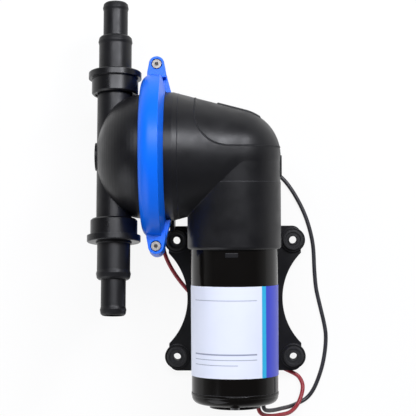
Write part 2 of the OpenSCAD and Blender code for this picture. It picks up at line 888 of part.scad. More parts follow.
module eccentric_screw() {
    color(steel) translate([output_r + slack, weight_y + weight_t / 2, axis_z]) rotate([0, 90, 0])
        difference() {
            cylinder(r = grub_r, h = collar_out_r - output_r - 2 * slack);
            translate([0, 0, (collar_out_r - output_r) / 2])
                cylinder(r = grub_r / 2, h = collar_out_r, $fn = 6);
        }
}

module output_shaft() {
    shoulder_y = upper_bearing_y - slack;
    color(steel) {
        on_motor(carrier_y) cylinder(r = output_r, h = shoulder_y - carrier_y);
        on_motor(shoulder_y - cut) cylinder(r = upper_shaft_r, h = upper_bearing_w + slack + 2 * cut);
    }
}

// Planetary gears: pressure angle 20 degrees, shortened teeth, and a little backlash
sun_teeth = 12;
planet_teeth = 18;
ring_teeth = 48;
planets = 3;
pressure_angle = 20;
addendum_share = 0.8;
dedendum_share = 1.1;
backlash_share = 0.06;
flank_steps = 4;
gear_module = (gear_bore_r - slack - gear_rim) / (ring_teeth / 2 + dedendum_share);
planet_out = gear_module * (sun_teeth + planet_teeth) / 2;
rad = 180 / PI;

// Half angle of a tooth at radius r, from its half angle at the pitch circle
function involute(angle) = tan(angle) * rad - angle;
function pitch_half(teeth, thin) = 90 / teeth - thin * rad / teeth;
function tooth_half(teeth, r, thin) = let (base = gear_module * teeth / 2 * cos(pressure_angle))
    r <= base ? pitch_half(teeth, thin) + involute(pressure_angle)
        : pitch_half(teeth, thin) + involute(pressure_angle) - involute(acos(base / r));

function polar(r, a) = [r * cos(a), r * sin(a)];

// Outline of a gear with a tooth centred on angle zero, from its root and tip radii
function flank_r(root, tip, k) = root + (tip - root) * k / flank_steps;
function gear_points(teeth, root, tip, thin) = [
    for (i = [0 : teeth - 1], side = [-1, 1], k = [0 : flank_steps])
        let (r = flank_r(root, tip, side < 0 ? k : flank_steps - k))
            polar(r, 360 * i / teeth + side * tooth_half(teeth, r, thin))
];

module spur_gear(teeth, width) {
    pitch = gear_module * teeth / 2;
    root = pitch - dedendum_share * gear_module;
    tip = pitch + addendum_share * gear_module;
    linear_extrude(height = width) polygon(gear_points(teeth, root, tip, backlash_share));
}

gear_clear = 1;

module sun_gear() {
    color(brass) on_motor(plate_top_y + gear_clear) difference() {
        spur_gear(sun_teeth, planet_w);
        translate([0, 0, -cut]) cylinder(r = shaft_r, h = planet_w + 2 * cut);
    }
}

module planet_gear(index) {
    color(gear_white) on_motor(plate_top_y + gear_clear) rotate([0, 0, 360 * index / planets])
        translate([planet_out, 0, 0]) rotate([0, 0, 180 / planet_teeth]) difference() {
            spur_gear(planet_teeth, planet_w);
            translate([0, 0, -cut]) cylinder(r = pin_r + run_gap, h = planet_w + 2 * cut);
        }
}

module planet_gear_a() {
    planet_gear(0);
}

module planet_gear_b() {
    planet_gear(1);
}

module planet_gear_c() {
    planet_gear(2);
}

// Internal teeth stand between spaces that have the shape of an external gear's teeth
module ring_gear() {
    pitch = gear_module * ring_teeth / 2;
    space_in = pitch - addendum_share * gear_module;
    space_out = pitch + dedendum_share * gear_module;
    color(gear_white) on_motor(plate_top_y) difference() {
        cylinder(r = gear_bore_r - slack, h = ring_gear_w);
        translate([0, 0, -cut]) linear_extrude(height = ring_gear_w + 2 * cut)
            rotate([0, 0, 180 / ring_teeth])
                polygon(gear_points(ring_teeth, space_in, space_out, -backlash_share));
    }
}

module at_planets() {
    for (i = [0 : planets - 1]) rotate([0, 0, 360 * i / planets]) translate([planet_out, 0, 0]) children();
}

carrier_hub_wall = 1.5;

module planet_carrier() {
    color(dark_steel) on_motor(carrier_y) difference() {
        union() {
            cylinder(r = planet_out + 2 * pin_r, h = carrier_t);
            cylinder(r = output_r + carrier_hub_wall, h = carrier_t + web_clear - slack);
        }
        translate([0, 0, -cut]) cylinder(r = output_r, h = carrier_t + web_clear + 2 * cut);
        translate([0, 0, -cut]) at_planets() cylinder(r = pin_r, h = carrier_t + 2 * cut);
    }
}

module planet_pins() {
    low = plate_top_y + gear_clear / 2;
    color(steel) on_motor(low) at_planets() cylinder(r = pin_r, h = carrier_y + carrier_t - low);
}

// Motor plate between the motor and the gearbox
bush_r = 5.5;
bush_len = 8;
nose_hub_r = 8.9;
bolt_r = 2;
bolt_in = 5.3;
bolt_out = motor_r - bolt_in;
nose_hub_len = 4;
bush_stop = 2;
bolt_blind = 1;

// Puts its children at the two through bolts, above and below the motor axis
module at_bolts() {
    for (side = [-1, 1]) translate([0, side * bolt_out, 0]) children();
}

module motor_plate() {
    hub_y = front_y - nose_hub_len;
    color(dark_steel) difference() {
        union() {
            on_motor(front_y) cylinder(r = motor_r, h = plate_t);
            on_motor(hub_y) cylinder(r = nose_hub_r, h = plate_top_y - hub_y);
        }
        on_motor(hub_y - cut) cylinder(r = bush_r, h = plate_top_y - hub_y - bush_stop + cut);
        on_motor(hub_y) cylinder(r = (shaft_r + bush_r) / 2, h = plate_top_y - hub_y + cut);
        on_motor(front_y - cut) at_bolts() cylinder(r = bolt_r, h = plate_t - bolt_blind + cut);
        for (side = [-1, 1]) translate([side * base_screw_x, base_screw_y, axis_z - motor_r - cut])
            cylinder(r = base_screw_r, h = base_screw_depth + cut);
    }
}

// Motor: a steel can with two magnets, the armature, and an end bell with the brushes
can_front_t = 2;
bell_end_wall = 2;
bell_spigot = 2;
bush_back_y = bell_end_y + bell_end_wall;
winding_in = 3.2;
windings_r = core_r - winding_in;
windings_len = 9;
slots = 12;
slot_r = 2.4;
slot_lip = 1.2;
slot_out = core_r - slot_r - slot_lip;
core_back = 24;
core_y = can_back_y + core_back;
magnet_y = core_y - (magnet_len - core_len) / 2;
card_y = can_back_y + bell_spigot;
card_t = 2;
commutator_y = card_y + card_t / 2;
winding_gap = 4;
winding_round = 3.6;

module motor_can() {
    color(dark_plastic) difference() {
        on_motor(can_back_y) cylinder(r = motor_r, h = can_len);
        on_motor(can_back_y - cut) cylinder(r = motor_r - can_wall, h = can_len - can_front_t + cut);
        on_motor(front_y - can_front_t - cut) cylinder(r = nose_hub_r + slack, h = can_front_t + 2 * cut);
        on_motor(front_y - can_front_t - cut) at_bolts()
            cylinder(r = bolt_r + slack, h = can_front_t + 2 * cut);
        translate([0, rear_screw_y, axis_z - motor_r - cut])
            cylinder(r = base_screw_r, h = can_wall + 2 * cut);
    }
}

module magnets() {
    color(magnet_grey) on_motor(magnet_y) for (turn = [0, 180]) rotate([0, 0, turn - magnet_span / 2])
        rotate_extrude(angle = magnet_span) translate([magnet_in_r, 0]) square([magnet_t, magnet_len]);
}

// Slots of the core, each with its opening at the rim
module slot_bars(radius, length, opening) {
    for (i = [0 : slots - 1]) rotate([0, 0, 360 * i / slots]) {
        translate([slot_out, 0, 0]) cylinder(r = radius, h = length, $fn = 32);
        if (opening > 0) translate([slot_out, -opening / 2, 0]) cube([core_r, opening, length]);
    }
}

module armature_core() {
    color(dark_steel) on_motor(core_y) difference() {
        cylinder(r = core_r, h = core_len);
        translate([0, 0, -cut]) cylinder(r = shaft_r, h = core_len + 2 * cut);
        translate([0, 0, -cut]) slot_bars(slot_r, core_len + 2 * cut, slot_r / 2);
    }
}

module armature_windings() {
    inner = shaft_r + winding_gap;
    corner = windings_r + slot_r - winding_round;
    color(copper) on_motor(core_y) {
        for (low = [-windings_len, core_len]) translate([0, 0, low]) rotate_extrude() {
            translate([inner, 0]) square([corner - inner, windings_len]);
            translate([corner, low < 0 ? winding_round : 0])
                square([winding_round, windings_len - winding_round]);
            translate([corner, low < 0 ? winding_round : windings_len - winding_round])
                circle(r = winding_round);
        }
        translate([0, 0, -cut]) slot_bars(slot_r - 2 * slack, core_len + 2 * cut, 0);
    }
}

slit_w = 0.6;

module commutator() {
    color(copper) on_motor(commutator_y) difference() {
        cylinder(r = commutator_r, h = commutator_len);
        translate([0, 0, -cut]) cylinder(r = shaft_r, h = commutator_len + 2 * cut);
        for (i = [0 : slots - 1]) rotate([0, 0, 360 * (i + 0.5) / slots])
            translate([commutator_r - 2 * slit_w, -slit_w / 2, 2 * slit_w])
                cube([commutator_r, slit_w, commutator_len]);
    }
}

module motor_shaft() {
    top = plate_top_y + gear_clear + planet_w;
    color(steel) on_motor(bush_back_y + slack) cylinder(r = shaft_r, h = top - bush_back_y - slack);
}

module motor_bushes() {
    color(brass) {
        on_motor(plate_top_y - bush_stop - bush_len) tube(bush_r, shaft_r + run_gap, bush_len);
        on_motor(bush_back_y) tube(bush_r, shaft_r + run_gap, bush_len);
    }
}

// End bell with its boss, and the grommet where the leads come out
bell_wall = 2.5;
grommet_in = 6.4;
grommet_angle = 42;
grommet_x = (motor_r - grommet_in) * cos(grommet_angle);
grommet_drop = (motor_r - grommet_in) * sin(grommet_angle);
grommet_r = 4.2;
grommet_neck_r = 3.2;
grommet_h = 2;
bolt_head_r = 3.5;
bolt_head_h = 1.6;
seat_rim = 0.5;

// Puts its children where the leads come out, below the motor axis
module at_grommet() {
    translate([grommet_x, grommet_drop, 0]) children();
}

module end_bell() {
    inner = motor_r - can_wall - slack;
    color(dark_plastic) difference() {
        union() {
            on_motor(bell_face_y) rotate_extrude() {
                square([motor_r - bell_round, bell_depth]);
                translate([0, bell_round]) square([motor_r, bell_depth - bell_round]);
                translate([motor_r - bell_round, bell_round]) mirror([0, 1]) quarter(bell_round);
            }
            on_motor(bell_end_y) cylinder(r = bell_boss_r, h = bell_boss_h + cut);
            on_motor(bell_face_y) at_bolts() cylinder(r = bolt_head_r + seat_rim, h = bell_depth);
            on_motor(bell_face_y) at_grommet() cylinder(r = grommet_r + seat_rim, h = bell_depth);
            on_motor(can_back_y - cut) cylinder(r = inner, h = bell_spigot + cut);
        }
        difference() {
            on_motor(bell_face_y + bell_wall) cylinder(r = inner - bell_wall, h = bell_depth + can_len);
            on_motor(bell_face_y) cylinder(r = bush_r + bell_wall, h = bush_back_y + bush_len - bell_face_y);
        }
        on_motor(bush_back_y) cylinder(r = bush_r, h = bell_boss_h + bell_depth);
        on_motor(bell_face_y - cut) at_bolts() cylinder(r = bolt_r + slack, h = bell_depth + can_len);
        on_motor(bell_face_y - cut) at_grommet() cylinder(r = grommet_neck_r, h = bell_wall + 2 * cut);
    }
}

module lead_grommet() {
    color(rubber_black) {
        on_motor(bell_face_y - grommet_h) at_grommet() cylinder(r = grommet_r, h = grommet_h);
        on_motor(bell_face_y - slack) at_grommet() cylinder(r = grommet_neck_r, h = bell_wall + slack);
    }
}

// Brush gear: a card across the can's mouth with two brush boxes
brush_w = 5;
brush_h = 6;
brush_share = 0.57;
box_wall = 1.4;
box_in_can = 6.3;
box_out = motor_r - box_in_can;
brush_len = (box_out - commutator_r) * brush_share;
brush_gap = 0.3;
box_gap = 2;
spring_turns = 5;
spring_wire = 0.5;

module brush_card() {
    mid_y = card_y + card_t;
    box_in = commutator_r + box_gap;
    color(magnet_grey) difference() {
        union() {
            on_motor(card_y) cylinder(r = motor_r - can_wall - slack, h = card_t);
            for (side = [-1, 1]) scale([side, 1, 1])
                translate([box_in, mid_y - cut, axis_z - brush_h / 2 - box_wall])
                    cube([box_out + box_wall - box_in, brush_w + 2 * box_wall + cut, brush_h + 2 * box_wall]);
        }
        on_motor(card_y - cut) cylinder(r = box_in, h = card_t + brush_w + 4 * box_wall);
        on_motor(card_y - cut) at_bolts() cylinder(r = bolt_r + slack, h = card_t + 2 * cut);
        translate([-box_out, mid_y + box_wall - slack, axis_z - brush_h / 2 - slack])
            cube([2 * box_out, brush_w + 2 * slack, brush_h + 2 * slack]);
    }
}

module brushes() {
    color(magnet_grey) for (side = [-1, 1]) scale([side, 1, 1])
        translate([commutator_r + brush_gap, card_y + card_t + box_wall, axis_z - brush_h / 2])
            cube([brush_len, brush_w, brush_h]);
}

// Points of a helix along Z, and a tube of six sides swept along a route
function helix(radius, pitch, turns, steps) = [for (i = [0 : turns * steps])
    [radius * cos(360 * i / steps), radius * sin(360 * i / steps), pitch * i / steps]];

function unit(v) = v / norm(v);
function direction(p, i) = let (last = len(p) - 1)
    i == 0 ? unit(p[1] - p[0]) : i == last ? unit(p[last] - p[last - 1]) : unit(p[i + 1] - p[i - 1]);

// Ring of points round the route at one of its points, square to the route
function ring_at(p, i, radius, sides) = let (
    along = direction(p, i),
    across = unit(cross([0, 0, 1], along)),
    up = cross(along, across)
) [for (k = [0 : sides - 1]) p[i] + radius * (cos(360 * k / sides) * across + sin(360 * k / sides) * up)];

module swept_tube(route, radius, sides) {
    rings = len(route);
    points = [for (i = [0 : rings - 1]) each ring_at(route, i, radius, sides)];
    walls = [for (i = [0 : rings - 2], k = [0 : sides - 1])
        let (a = i * sides + k, b = i * sides + (k + 1) % sides)
        each [[a, b + sides, b], [a, a + sides, b + sides]]];
    first = [for (k = [1 : sides - 2]) [0, k, k + 1]];
    last = [for (k = [1 : sides - 2]) let (base = (rings - 1) * sides) [base, base + k + 1, base + k]];
    polyhedron(points = points, faces = concat(walls, first, last));
}

module brush_springs() {
    start = commutator_r + brush_gap + brush_len + spring_wire + slack;
    length = box_out - start - spring_wire - slack;
    coil = brush_w / 2 - spring_wire - slack;
    color(steel) for (side = [-1, 1]) scale([side, 1, 1])
        translate([start, card_y + card_t + box_wall + brush_w / 2, axis_z]) rotate([0, 90, 0])
            swept_tube(helix(coil, length / spring_turns, spring_turns, 10), spring_wire, 6);
}

module through_bolts() {
    color(steel) {
        on_motor(bell_face_y - bolt_head_h) at_bolts() cylinder(r = bolt_head_r, h = bolt_head_h);
        on_motor(bell_face_y - slack) at_bolts()
            cylinder(r = bolt_r, h = plate_top_y - 2 * bolt_blind - bell_face_y);
    }
}

module motor_label() {
    top = rim_y - label_gap;
    color(label_white) on_motor(top - label_len) rotate([0, 0, -90 - label_span / 2])
        rotate_extrude(angle = label_span) translate([motor_r + slack / 2, 0]) square([label_t, label_len]);
}

// Base plate: four lobes for the feet, a cradle under the housing, one under the motor
// and an upright that carries the barrel beside the clamp ring
cradle_gap = 0.1;
front_cradle_half = 24;
front_cradle_len = 11;
rear_cradle_half = 20;
rear_cradle_len = 8;
rear_cradle_y = -46;
rear_screw_y = rear_cradle_y + rear_cradle_len / 2;
base_head_r = 3.6;
base_head_h = 2.6;
base_screw_depth = 8;
tip_room = 1;
front_screw_tip = axis_z - motor_r + base_screw_depth - tip_room;
front_screw_len = 21;
rear_tip_proud = 0.8;
rear_screw_tip = axis_z - motor_r + can_wall + rear_tip_proud;
rear_screw_len = 12;
rib_t = 3;
rib_z = 26;
upright_t = 3.5;
upright_gap = 0.5;
upright_root = 8;
upright_short = 13;
upright_x = ring_right_x + upright_gap;
upright_y = plate_half_y - upright_root;
upright_end = head_y - upright_short;
upright_top = 30;
foot_neck_r = 6.5;
foot_rim_t = 2;

module at_feet() {
    for (x = [-1, 1], y = [-1, 1]) translate([x * hole_pitch / 2, y * hole_pitch / 2, 0]) children();
}

module plate_outline() {
    difference() {
        union() {
            square([2 * plate_half_x, 2 * (plate_half_y - corner_r)], center = true);
            square([2 * (plate_half_x - corner_r), 2 * plate_half_y], center = true);
            for (x = [-1, 1], y = [-1, 1])
                translate([x * (plate_half_x - corner_r), y * (plate_half_y - corner_r)])
                    circle(r = corner_r);
        }
        for (x = [-1, 1]) translate([x * (waist_half + waist_r), 0]) circle(r = waist_r);
    }
}

module base_plate() {
    front_y0 = base_screw_y - front_cradle_len / 2;
    color(dark_plastic) difference() {
        union() {
            translate([0, 0, plate_z]) linear_extrude(height = base_t) plate_outline();
            translate([0, 0, plate_z]) at_feet() cylinder(r = foot_boss_r, h = base_t + foot_boss_h);
            translate([-front_cradle_half, front_y0, plate_z])
                cube([2 * front_cradle_half, front_cradle_len, axis_z - plate_z - housing_r / 2]);
            translate([-rear_cradle_half, rear_cradle_y, plate_z])
                cube([2 * rear_cradle_half, rear_cradle_len, axis_z - plate_z - motor_r / 2]);
            for (side = [-1, 1]) translate([side * base_screw_x - rib_t / 2, rear_cradle_y, plate_z])
                cube([rib_t, front_y0 - rear_cradle_y + cut, rib_z - plate_z]);
            translate([upright_x, upright_y, plate_z])
                cube([upright_t, upright_end - upright_y, upright_top - plate_z]);
        }
        on_motor(rear_cradle_y - cut) cylinder(r = motor_r + cradle_gap, h = rim_y - rear_cradle_y + cut);
        on_motor(rim_y - 2 * cut) cylinder(r = housing_r + cradle_gap, h = head_y);
        on_head(ring_right_x - cut) cylinder(r = barrel_r + cradle_gap, h = 2 * upright_t + cut);
        at_feet() translate([0, 0, -cut]) cylinder(r = foot_neck_r + slack, h = axis_z / 2);
        at_feet() translate([0, 0, plate_z + base_t + foot_boss_h])
            cylinder(r = foot_top_r + slack, h = axis_z / 2);
        for (side = [-1, 1]) translate([side * base_screw_x, base_screw_y, 0]) {
            translate([0, 0, -cut])
                cylinder(r = base_head_r + slack, h = front_screw_tip - front_screw_len + cut);
            cylinder(r = base_screw_r + slack, h = axis_z);
        }
        translate([0, rear_screw_y, 0]) {
            translate([0, 0, -cut])
                cylinder(r = base_head_r + slack, h = rear_screw_tip - rear_screw_len + cut);
            cylinder(r = base_screw_r + slack, h = axis_z);
        }
    }
}

module rubber_feet() {
    neck_h = base_t + foot_boss_h;
    color(rubber_black) at_feet() difference() {
        union() {
            cylinder(r = foot_r, h = plate_z - slack / 2);
            cylinder(r = foot_neck_r, h = plate_z + neck_h + foot_rim_t);
            translate([0, 0, plate_z + neck_h + slack / 2])
                cylinder(r = foot_top_r, h = foot_rim_t - slack / 2);
        }
        translate([0, 0, -cut]) cylinder(r = hole_r, h = plate_z + neck_h + foot_rim_t + 2 * cut);
    }
}

// Screw pointing up, with its tip at the given height
module base_screw(tip, length) {
    difference() {
        union() {
            translate([0, 0, tip - length]) cylinder(r = base_screw_r, h = length);
            translate([0, 0, tip - length - base_head_h]) cylinder(r = base_head_r, h = base_head_h);
        }
        translate([0, 0, tip - length - base_head_h - cut])
            cylinder(r = base_screw_r * hex_share, h = base_head_h / 2 + cut, $fn = 6);
    }
}

module base_screws() {
    color(steel) {
        for (side = [-1, 1]) translate([side * base_screw_x, base_screw_y, 0])
            base_screw(front_screw_tip, front_screw_len);
        translate([0, rear_screw_y, 0]) base_screw(rear_screw_tip, rear_screw_len);
    }
}

// Leads: they leave the grommet, drop to the surface and lie on it
black_points = [
    [22, -78.9, 50], [22, -82.2, 49.9], [23.2, -85, 47.4], [26, -86.3, 43.2], [31, -87, 35],
    [37, -87, 25.5], [43.5, -87, 14.5], [50.5, -85.5, 5.4], [57.5, -82, 2.1], [63.5, -74.5, 1.7],
    [69, -61, 1.7], [72.5, -46, 1.7], [73.5, -29, 1.7], [70, -11, 1.7], [66, 7, 1.7], [64.5, 25, 1.7],
    [63.5, 43, 1.7], [59, 62, 1.7], [51, 80, 1.7], [39, 97, 1.7], [22, 108, 1.7], [7, 110.5, 1.7],
    [-8, 111, 1.7]
];
red_points = [
    [18, -78.9, 50], [18, -83, 49.9], [19.4, -87, 48.2], [23, -89.8, 44.2], [29, -91.3, 37.5],
    [36, -91.5, 29.5], [43, -91, 20.5], [49, -87, 12.5], [53, -79.5, 8], [54.5, -71, 3.8], [50.5, -63.5, 2],
    [41, -58.5, 1.7], [28, -51, 1.7], [12, -38.5, 1.7], [-4, -25.5, 1.7], [-20, -11.5, 1.7],
    [-35.5, 3, 1.7], [-48.5, 19, 1.7], [-57, 36, 1.7], [-60, 56, 1.7], [-60.5, 76, 1.7], [-60.5, 98, 1.7]
];

// Route with a point added in the middle of each stretch, on the curve through all its points
function between(a, b, c, d) = (9 * (b + c) - a - d) / 16;
function middle(p, i) = i == 0 || i == len(p) - 2 ? (p[i] + p[i + 1]) / 2
    : between(p[i - 1], p[i], p[i + 1], p[i + 2]);
function smooth_route(p) = [for (i = [0 : len(p) - 2]) each [p[i], middle(p, i)], p[len(p) - 1]];
black_route = smooth_route(black_points);
red_route = smooth_route(red_points);
strand_share = 0.6;

module black_lead() {
    color(lead_black) swept_tube(black_route, lead_r, 8);
}

module red_lead() {
    color(lead_red) swept_tube(red_route, lead_r, 8);
}

// Bare strands at the ends of both leads
module lead_tips() {
    strand_r = lead_r * strand_share;
    black_end = black_route[len(black_route) - 1];
    red_end = red_route[len(red_route) - 1];
    color(copper) {
        translate(black_end) rotate([0, -90, 0]) cylinder(r = strand_r, h = strip_len);
        translate(red_end) rotate([-90, 0, 0]) cylinder(r = strand_r, h = strip_len);
    }
}

pump_head();
inlet_port();
outlet_port();
inlet_collar();
outlet_collar();
inlet_valve();
outlet_valve();
diaphragm();
diaphragm_front_plate();
diaphragm_back_plate();
diaphragm_screw();
clamp_front_half();
clamp_rear_half();
clamp_screws();
clamp_nuts();
crank_housing();
crank_cover();
connecting_rod();
rod_bearing_outer();
rod_bearing_balls();
rod_bearing_inner();
eccentric();
eccentric_screw();
output_shaft();
lower_bearing_outer();
lower_bearing_balls();
lower_bearing_inner();
upper_bearing_outer();
upper_bearing_balls();
upper_bearing_inner();
planet_carrier();
planet_pins();
planet_gear_a();
planet_gear_b();
planet_gear_c();
ring_gear();
sun_gear();
motor_plate();
motor_can();
magnets();
armature_core();
armature_windings();
commutator();
motor_shaft();
motor_bushes();
end_bell();
brush_card();
brushes();
brush_springs();
through_bolts();
motor_label();
lead_grommet();
base_plate();
rubber_feet();
base_screws();
black_lead();
red_lead();
lead_tips();
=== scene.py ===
import math

import bmesh
import bpy
import numpy as np
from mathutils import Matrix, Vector


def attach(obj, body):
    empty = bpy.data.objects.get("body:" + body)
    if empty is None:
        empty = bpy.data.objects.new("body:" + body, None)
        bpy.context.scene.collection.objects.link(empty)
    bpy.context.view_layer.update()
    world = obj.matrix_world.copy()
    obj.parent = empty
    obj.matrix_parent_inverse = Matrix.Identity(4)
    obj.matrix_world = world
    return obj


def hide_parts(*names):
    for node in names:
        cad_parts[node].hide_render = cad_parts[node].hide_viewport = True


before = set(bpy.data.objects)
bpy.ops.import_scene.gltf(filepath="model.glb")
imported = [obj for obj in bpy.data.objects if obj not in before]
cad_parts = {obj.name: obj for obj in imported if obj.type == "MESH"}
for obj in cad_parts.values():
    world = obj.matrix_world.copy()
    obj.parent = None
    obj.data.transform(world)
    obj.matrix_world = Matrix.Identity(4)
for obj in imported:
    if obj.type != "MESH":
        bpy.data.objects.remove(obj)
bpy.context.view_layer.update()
mm = 0.001
print("frame loaded:", len(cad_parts), "nodes")

# Measured places that several pieces share, in millimetres
pump = {"axisZ": 68.0, "headY": 113.0, "motorR": 33.3}


def hexColour(code):
    # sRGB hex to linear: each channel to the power 2.4 above the short straight part
    channels = np.array([int(code[i:i + 2], 16) for i in (1, 3, 5)]) / 255
    linear = np.where(channels <= 0.04045, channels / 12.92, ((channels + 0.055) / 1.055) ** 2.4)
    return (*linear.tolist(), 1.0)


def addNode(tree, kind, settings=None, links=None):
    # One node: settings by attribute or by input, and the outputs that feed its inputs. A Mix node's
    # colours are its inputs 6 and 7 and its output 2
    node = tree.nodes.new("ShaderNode" + kind)
    for key, value in (settings or {}).items():
        if isinstance(key, str) and hasattr(node, key):
            setattr(node, key, value)
        else:
            node.inputs[key].default_value = value
    for key, source in (links or {}).items():
        tree.links.new(source, node.inputs[key])
    return node


def newMaterial(name):
    # An empty material and its node tree
    material = bpy.data.materials.new(name)
    material.use_nodes = True
    material.node_tree.nodes.clear()
    return material, material.node_tree


# Camera at the photograph's place, found from the measured points of the pump
camera = {"place": (5.65, 73.89, 1204.2), "turn": (-0.044, 1.299, -0.314), "focalPx": 1476.0,
          "framePx": 416.0, "sensor": 36.0, "near": 50.0, "far": 20000.0}


def makeCamera(s):
    # The lens is the sensor's width times the focal length in picture dots over the picture's width in dots
    data = bpy.data.cameras.new("camera")
    data.sensor_width = s["sensor"]
    data.lens = s["focalPx"] / s["framePx"] * data.sensor_width
    data.clip_start = s["near"] * mm
    data.clip_end = s["far"] * mm
    eye = bpy.data.objects.new("camera", data)
    eye.location = [v * mm for v in s["place"]]
    eye.rotation_euler = [math.radians(v) for v in s["turn"]]
    bpy.context.scene.collection.objects.link(eye)
    bpy.context.scene.camera = eye


makeCamera(camera)
print("camera made")


# Points of a closed piece that are nearer than this, in metres, become one
mergeGap = 1e-7


def gridMesh(name, points, closeU=False, closeV=False):
    # Quads over a grid of points [u, v, xyz] in millimetres, joined round where a side is closed. They are
    # turned over where the volume, the sum of a . (b x c) over the triangles, comes out below zero. Points
    # that meet at a pole become one, and an open end of a tube gets one flat face
    countU, countV = points.shape[:2]
    u = np.arange(countU if closeU else countU - 1)
    v = np.arange(countV if closeV else countV - 1)
    a, b = np.meshgrid(u, v, indexing="ij")
    a2, b2 = (a + 1) % countU, (b + 1) % countV
    quads = np.stack([a * countV + b, a2 * countV + b, a2 * countV + b2, a * countV + b2], axis=-1)
    quads = quads.reshape(-1, 4)
    corner = (points - points.mean(axis=(0, 1))).reshape(-1, 3)[quads]
    volume = sum((corner[:, 0] * np.cross(corner[:, i], corner[:, i + 1])).sum() for i in (1, 2))
    if volume < 0:
        quads = quads[:, ::-1]
    mesh = bpy.data.meshes.new(name)
    mesh.vertices.add(countU * countV)
    mesh.vertices.foreach_set("co", (points.reshape(-1, 3) * mm).astype(np.float32).ravel())
    mesh.loops.add(quads.size)
    mesh.loops.foreach_set("vertex_index", quads.astype(np.int32).ravel())
    mesh.polygons.add(len(quads))
    mesh.polygons.foreach_set("loop_start", np.arange(0, quads.size, 4, dtype=np.int32))
    mesh.polygons.foreach_set("use_smooth", np.ones(len(quads), bool))
    mesh.update(calc_edges=True)
    mesh.validate()
    if closeV:
        shell = bmesh.new()
        shell.from_mesh(mesh)
        bmesh.ops.remove_doubles(shell, verts=shell.verts, dist=mergeGap)
        bmesh.ops.holes_fill(shell, edges=[edge for edge in shell.edges if edge.is_boundary])
        shell.to_mesh(mesh)
        shell.free()
    piece = bpy.data.objects.new(name, mesh)
    bpy.context.scene.collection.objects.link(piece)
    return piece


def joinPieces(name, pieces):
    # Several meshes into one, point after point
    bpy.ops.object.select_all(action="DESELECT")
    for piece in pieces:
        piece.select_set(True)
    bpy.context.view_layer.objects.active = pieces[0]
    bpy.ops.object.join()
    joined = bpy.context.view_layer.objects.active
    joined.name = joined.data.name = name
    return joined


def finishPiece(piece, body, material, slot, *nodes):
    # A piece's material, the body it rides on, and the solids that it stands in for; the slot is not used
    piece.data.materials.clear()
    piece.data.materials.append(material)
    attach(piece, body)
    if nodes:
        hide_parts(*nodes)


def tubeRings(path, radius, sides):
    # Circle of the given radius round each path point, square to the path, its first arm level
    along = np.gradient(path, axis=0)
    along /= np.linalg.norm(along, axis=1, keepdims=True)
    across = np.cross([0.0, 0.0, 1.0], along)
    across /= np.linalg.norm(across, axis=1, keepdims=True)
    up = np.cross(along, across)
    angle = np.linspace(0, 2 * math.pi, sides, endpoint=False)[None, :, None]
    return path[:, None] + radius * (np.cos(angle) * across[:, None] + np.sin(angle) * up[:, None])


def closedTube(name, path, radius, sides):
    # A tube whose ends close: a last ring at each end draws in to the path's end point
    rings = tubeRings(path, radius, sides)
    first, last = (np.broadcast_to(path[i], rings[:1].shape) for i in (0, -1))
    return gridMesh(name, np.concatenate([first, rings, last]), closeV=True)


# Leads: the same points as the solids, in millimetres
leads = {
    "radius": 1.65, "sides": 20, "rounds": 3, "strip": 8.0, "strandR": 0.34, "strandSides": 8,
    "strandSteps": 25, "twisted": 6,
    "black": [(22, -78.9, 50), (22, -82.2, 49.9), (23.2, -85, 47.4), (26, -86.3, 43.2), (31, -87, 35),
              (37, -87, 25.5), (43.5, -87, 14.5), (50.5, -85.5, 5.4), (57.5, -82, 2.1), (63.5, -74.5, 1.7),
              (69, -61, 1.7), (72.5, -46, 1.7), (73.5, -29, 1.7), (70, -11, 1.7), (66, 7, 1.7),
              (64.5, 25, 1.7), (63.5, 43, 1.7), (59, 62, 1.7), (51, 80, 1.7), (39, 97, 1.7),
              (22, 108, 1.7), (7, 110.5, 1.7), (-8, 111, 1.7)],
    "red": [(18, -78.9, 50), (18, -83, 49.9), (19.4, -87, 48.2), (23, -89.8, 44.2), (29, -91.3, 37.5),
            (36, -91.5, 29.5), (43, -91, 20.5), (49, -87, 12.5), (53, -79.5, 8), (54.5, -71, 3.8),
            (50.5, -63.5, 2), (41, -58.5, 1.7), (28, -51, 1.7), (12, -38.5, 1.7), (-4, -25.5, 1.7),
            (-20, -11.5, 1.7), (-35.5, 3, 1.7), (-48.5, 19, 1.7), (-57, 36, 1.7), (-60, 56, 1.7),
            (-60.5, 76, 1.7), (-60.5, 98, 1.7)],
}


def smoothRoute(points, rounds):
    # A point is added in the middle of each stretch, on the curve through its four nearest points
    p = np.asarray(points, float)
    for _ in range(rounds):
        middle = (p[:-1] + p[1:]) / 2
        middle[1:-1] = (9 * (p[1:-2] + p[2:-1]) - p[:-3] - p[3:]) / 16
        q = np.empty((2 * len(p) - 1, 3))
        q[0::2], q[1::2] = p, middle
        p = q
    return p


def routeLength(path):
    # Sum of the distances from each point to the next
    return float(np.linalg.norm(np.diff(path, axis=0), axis=1).sum())


def strands(name, start, end, s):
    # Bare strands: one straight in the middle, and the rest wind round it once along the stripped end
    along = np.linspace(0, 1, s["strandSteps"])[:, None]
    axis = np.asarray(end, float) - np.asarray(start, float)
    straight = np.asarray(start, float) + along * axis
    axis /= np.linalg.norm(axis)
    side = np.cross([0.0, 0.0, 1.0], axis)
    made = [closedTube(name + "Core", straight, s["strandR"], s["strandSides"])]
    for k in range(s["twisted"]):
        turn = 2 * math.pi * (k / s["twisted"] + along)
        wound = straight + 2 * s["strandR"] * (np.cos(turn) * side + np.sin(turn) * [0, 0, 1])
        made.append(closedTube(f"{name}{k}", wound, s["strandR"], s["strandSides"]))
    return joinPieces(name, made)


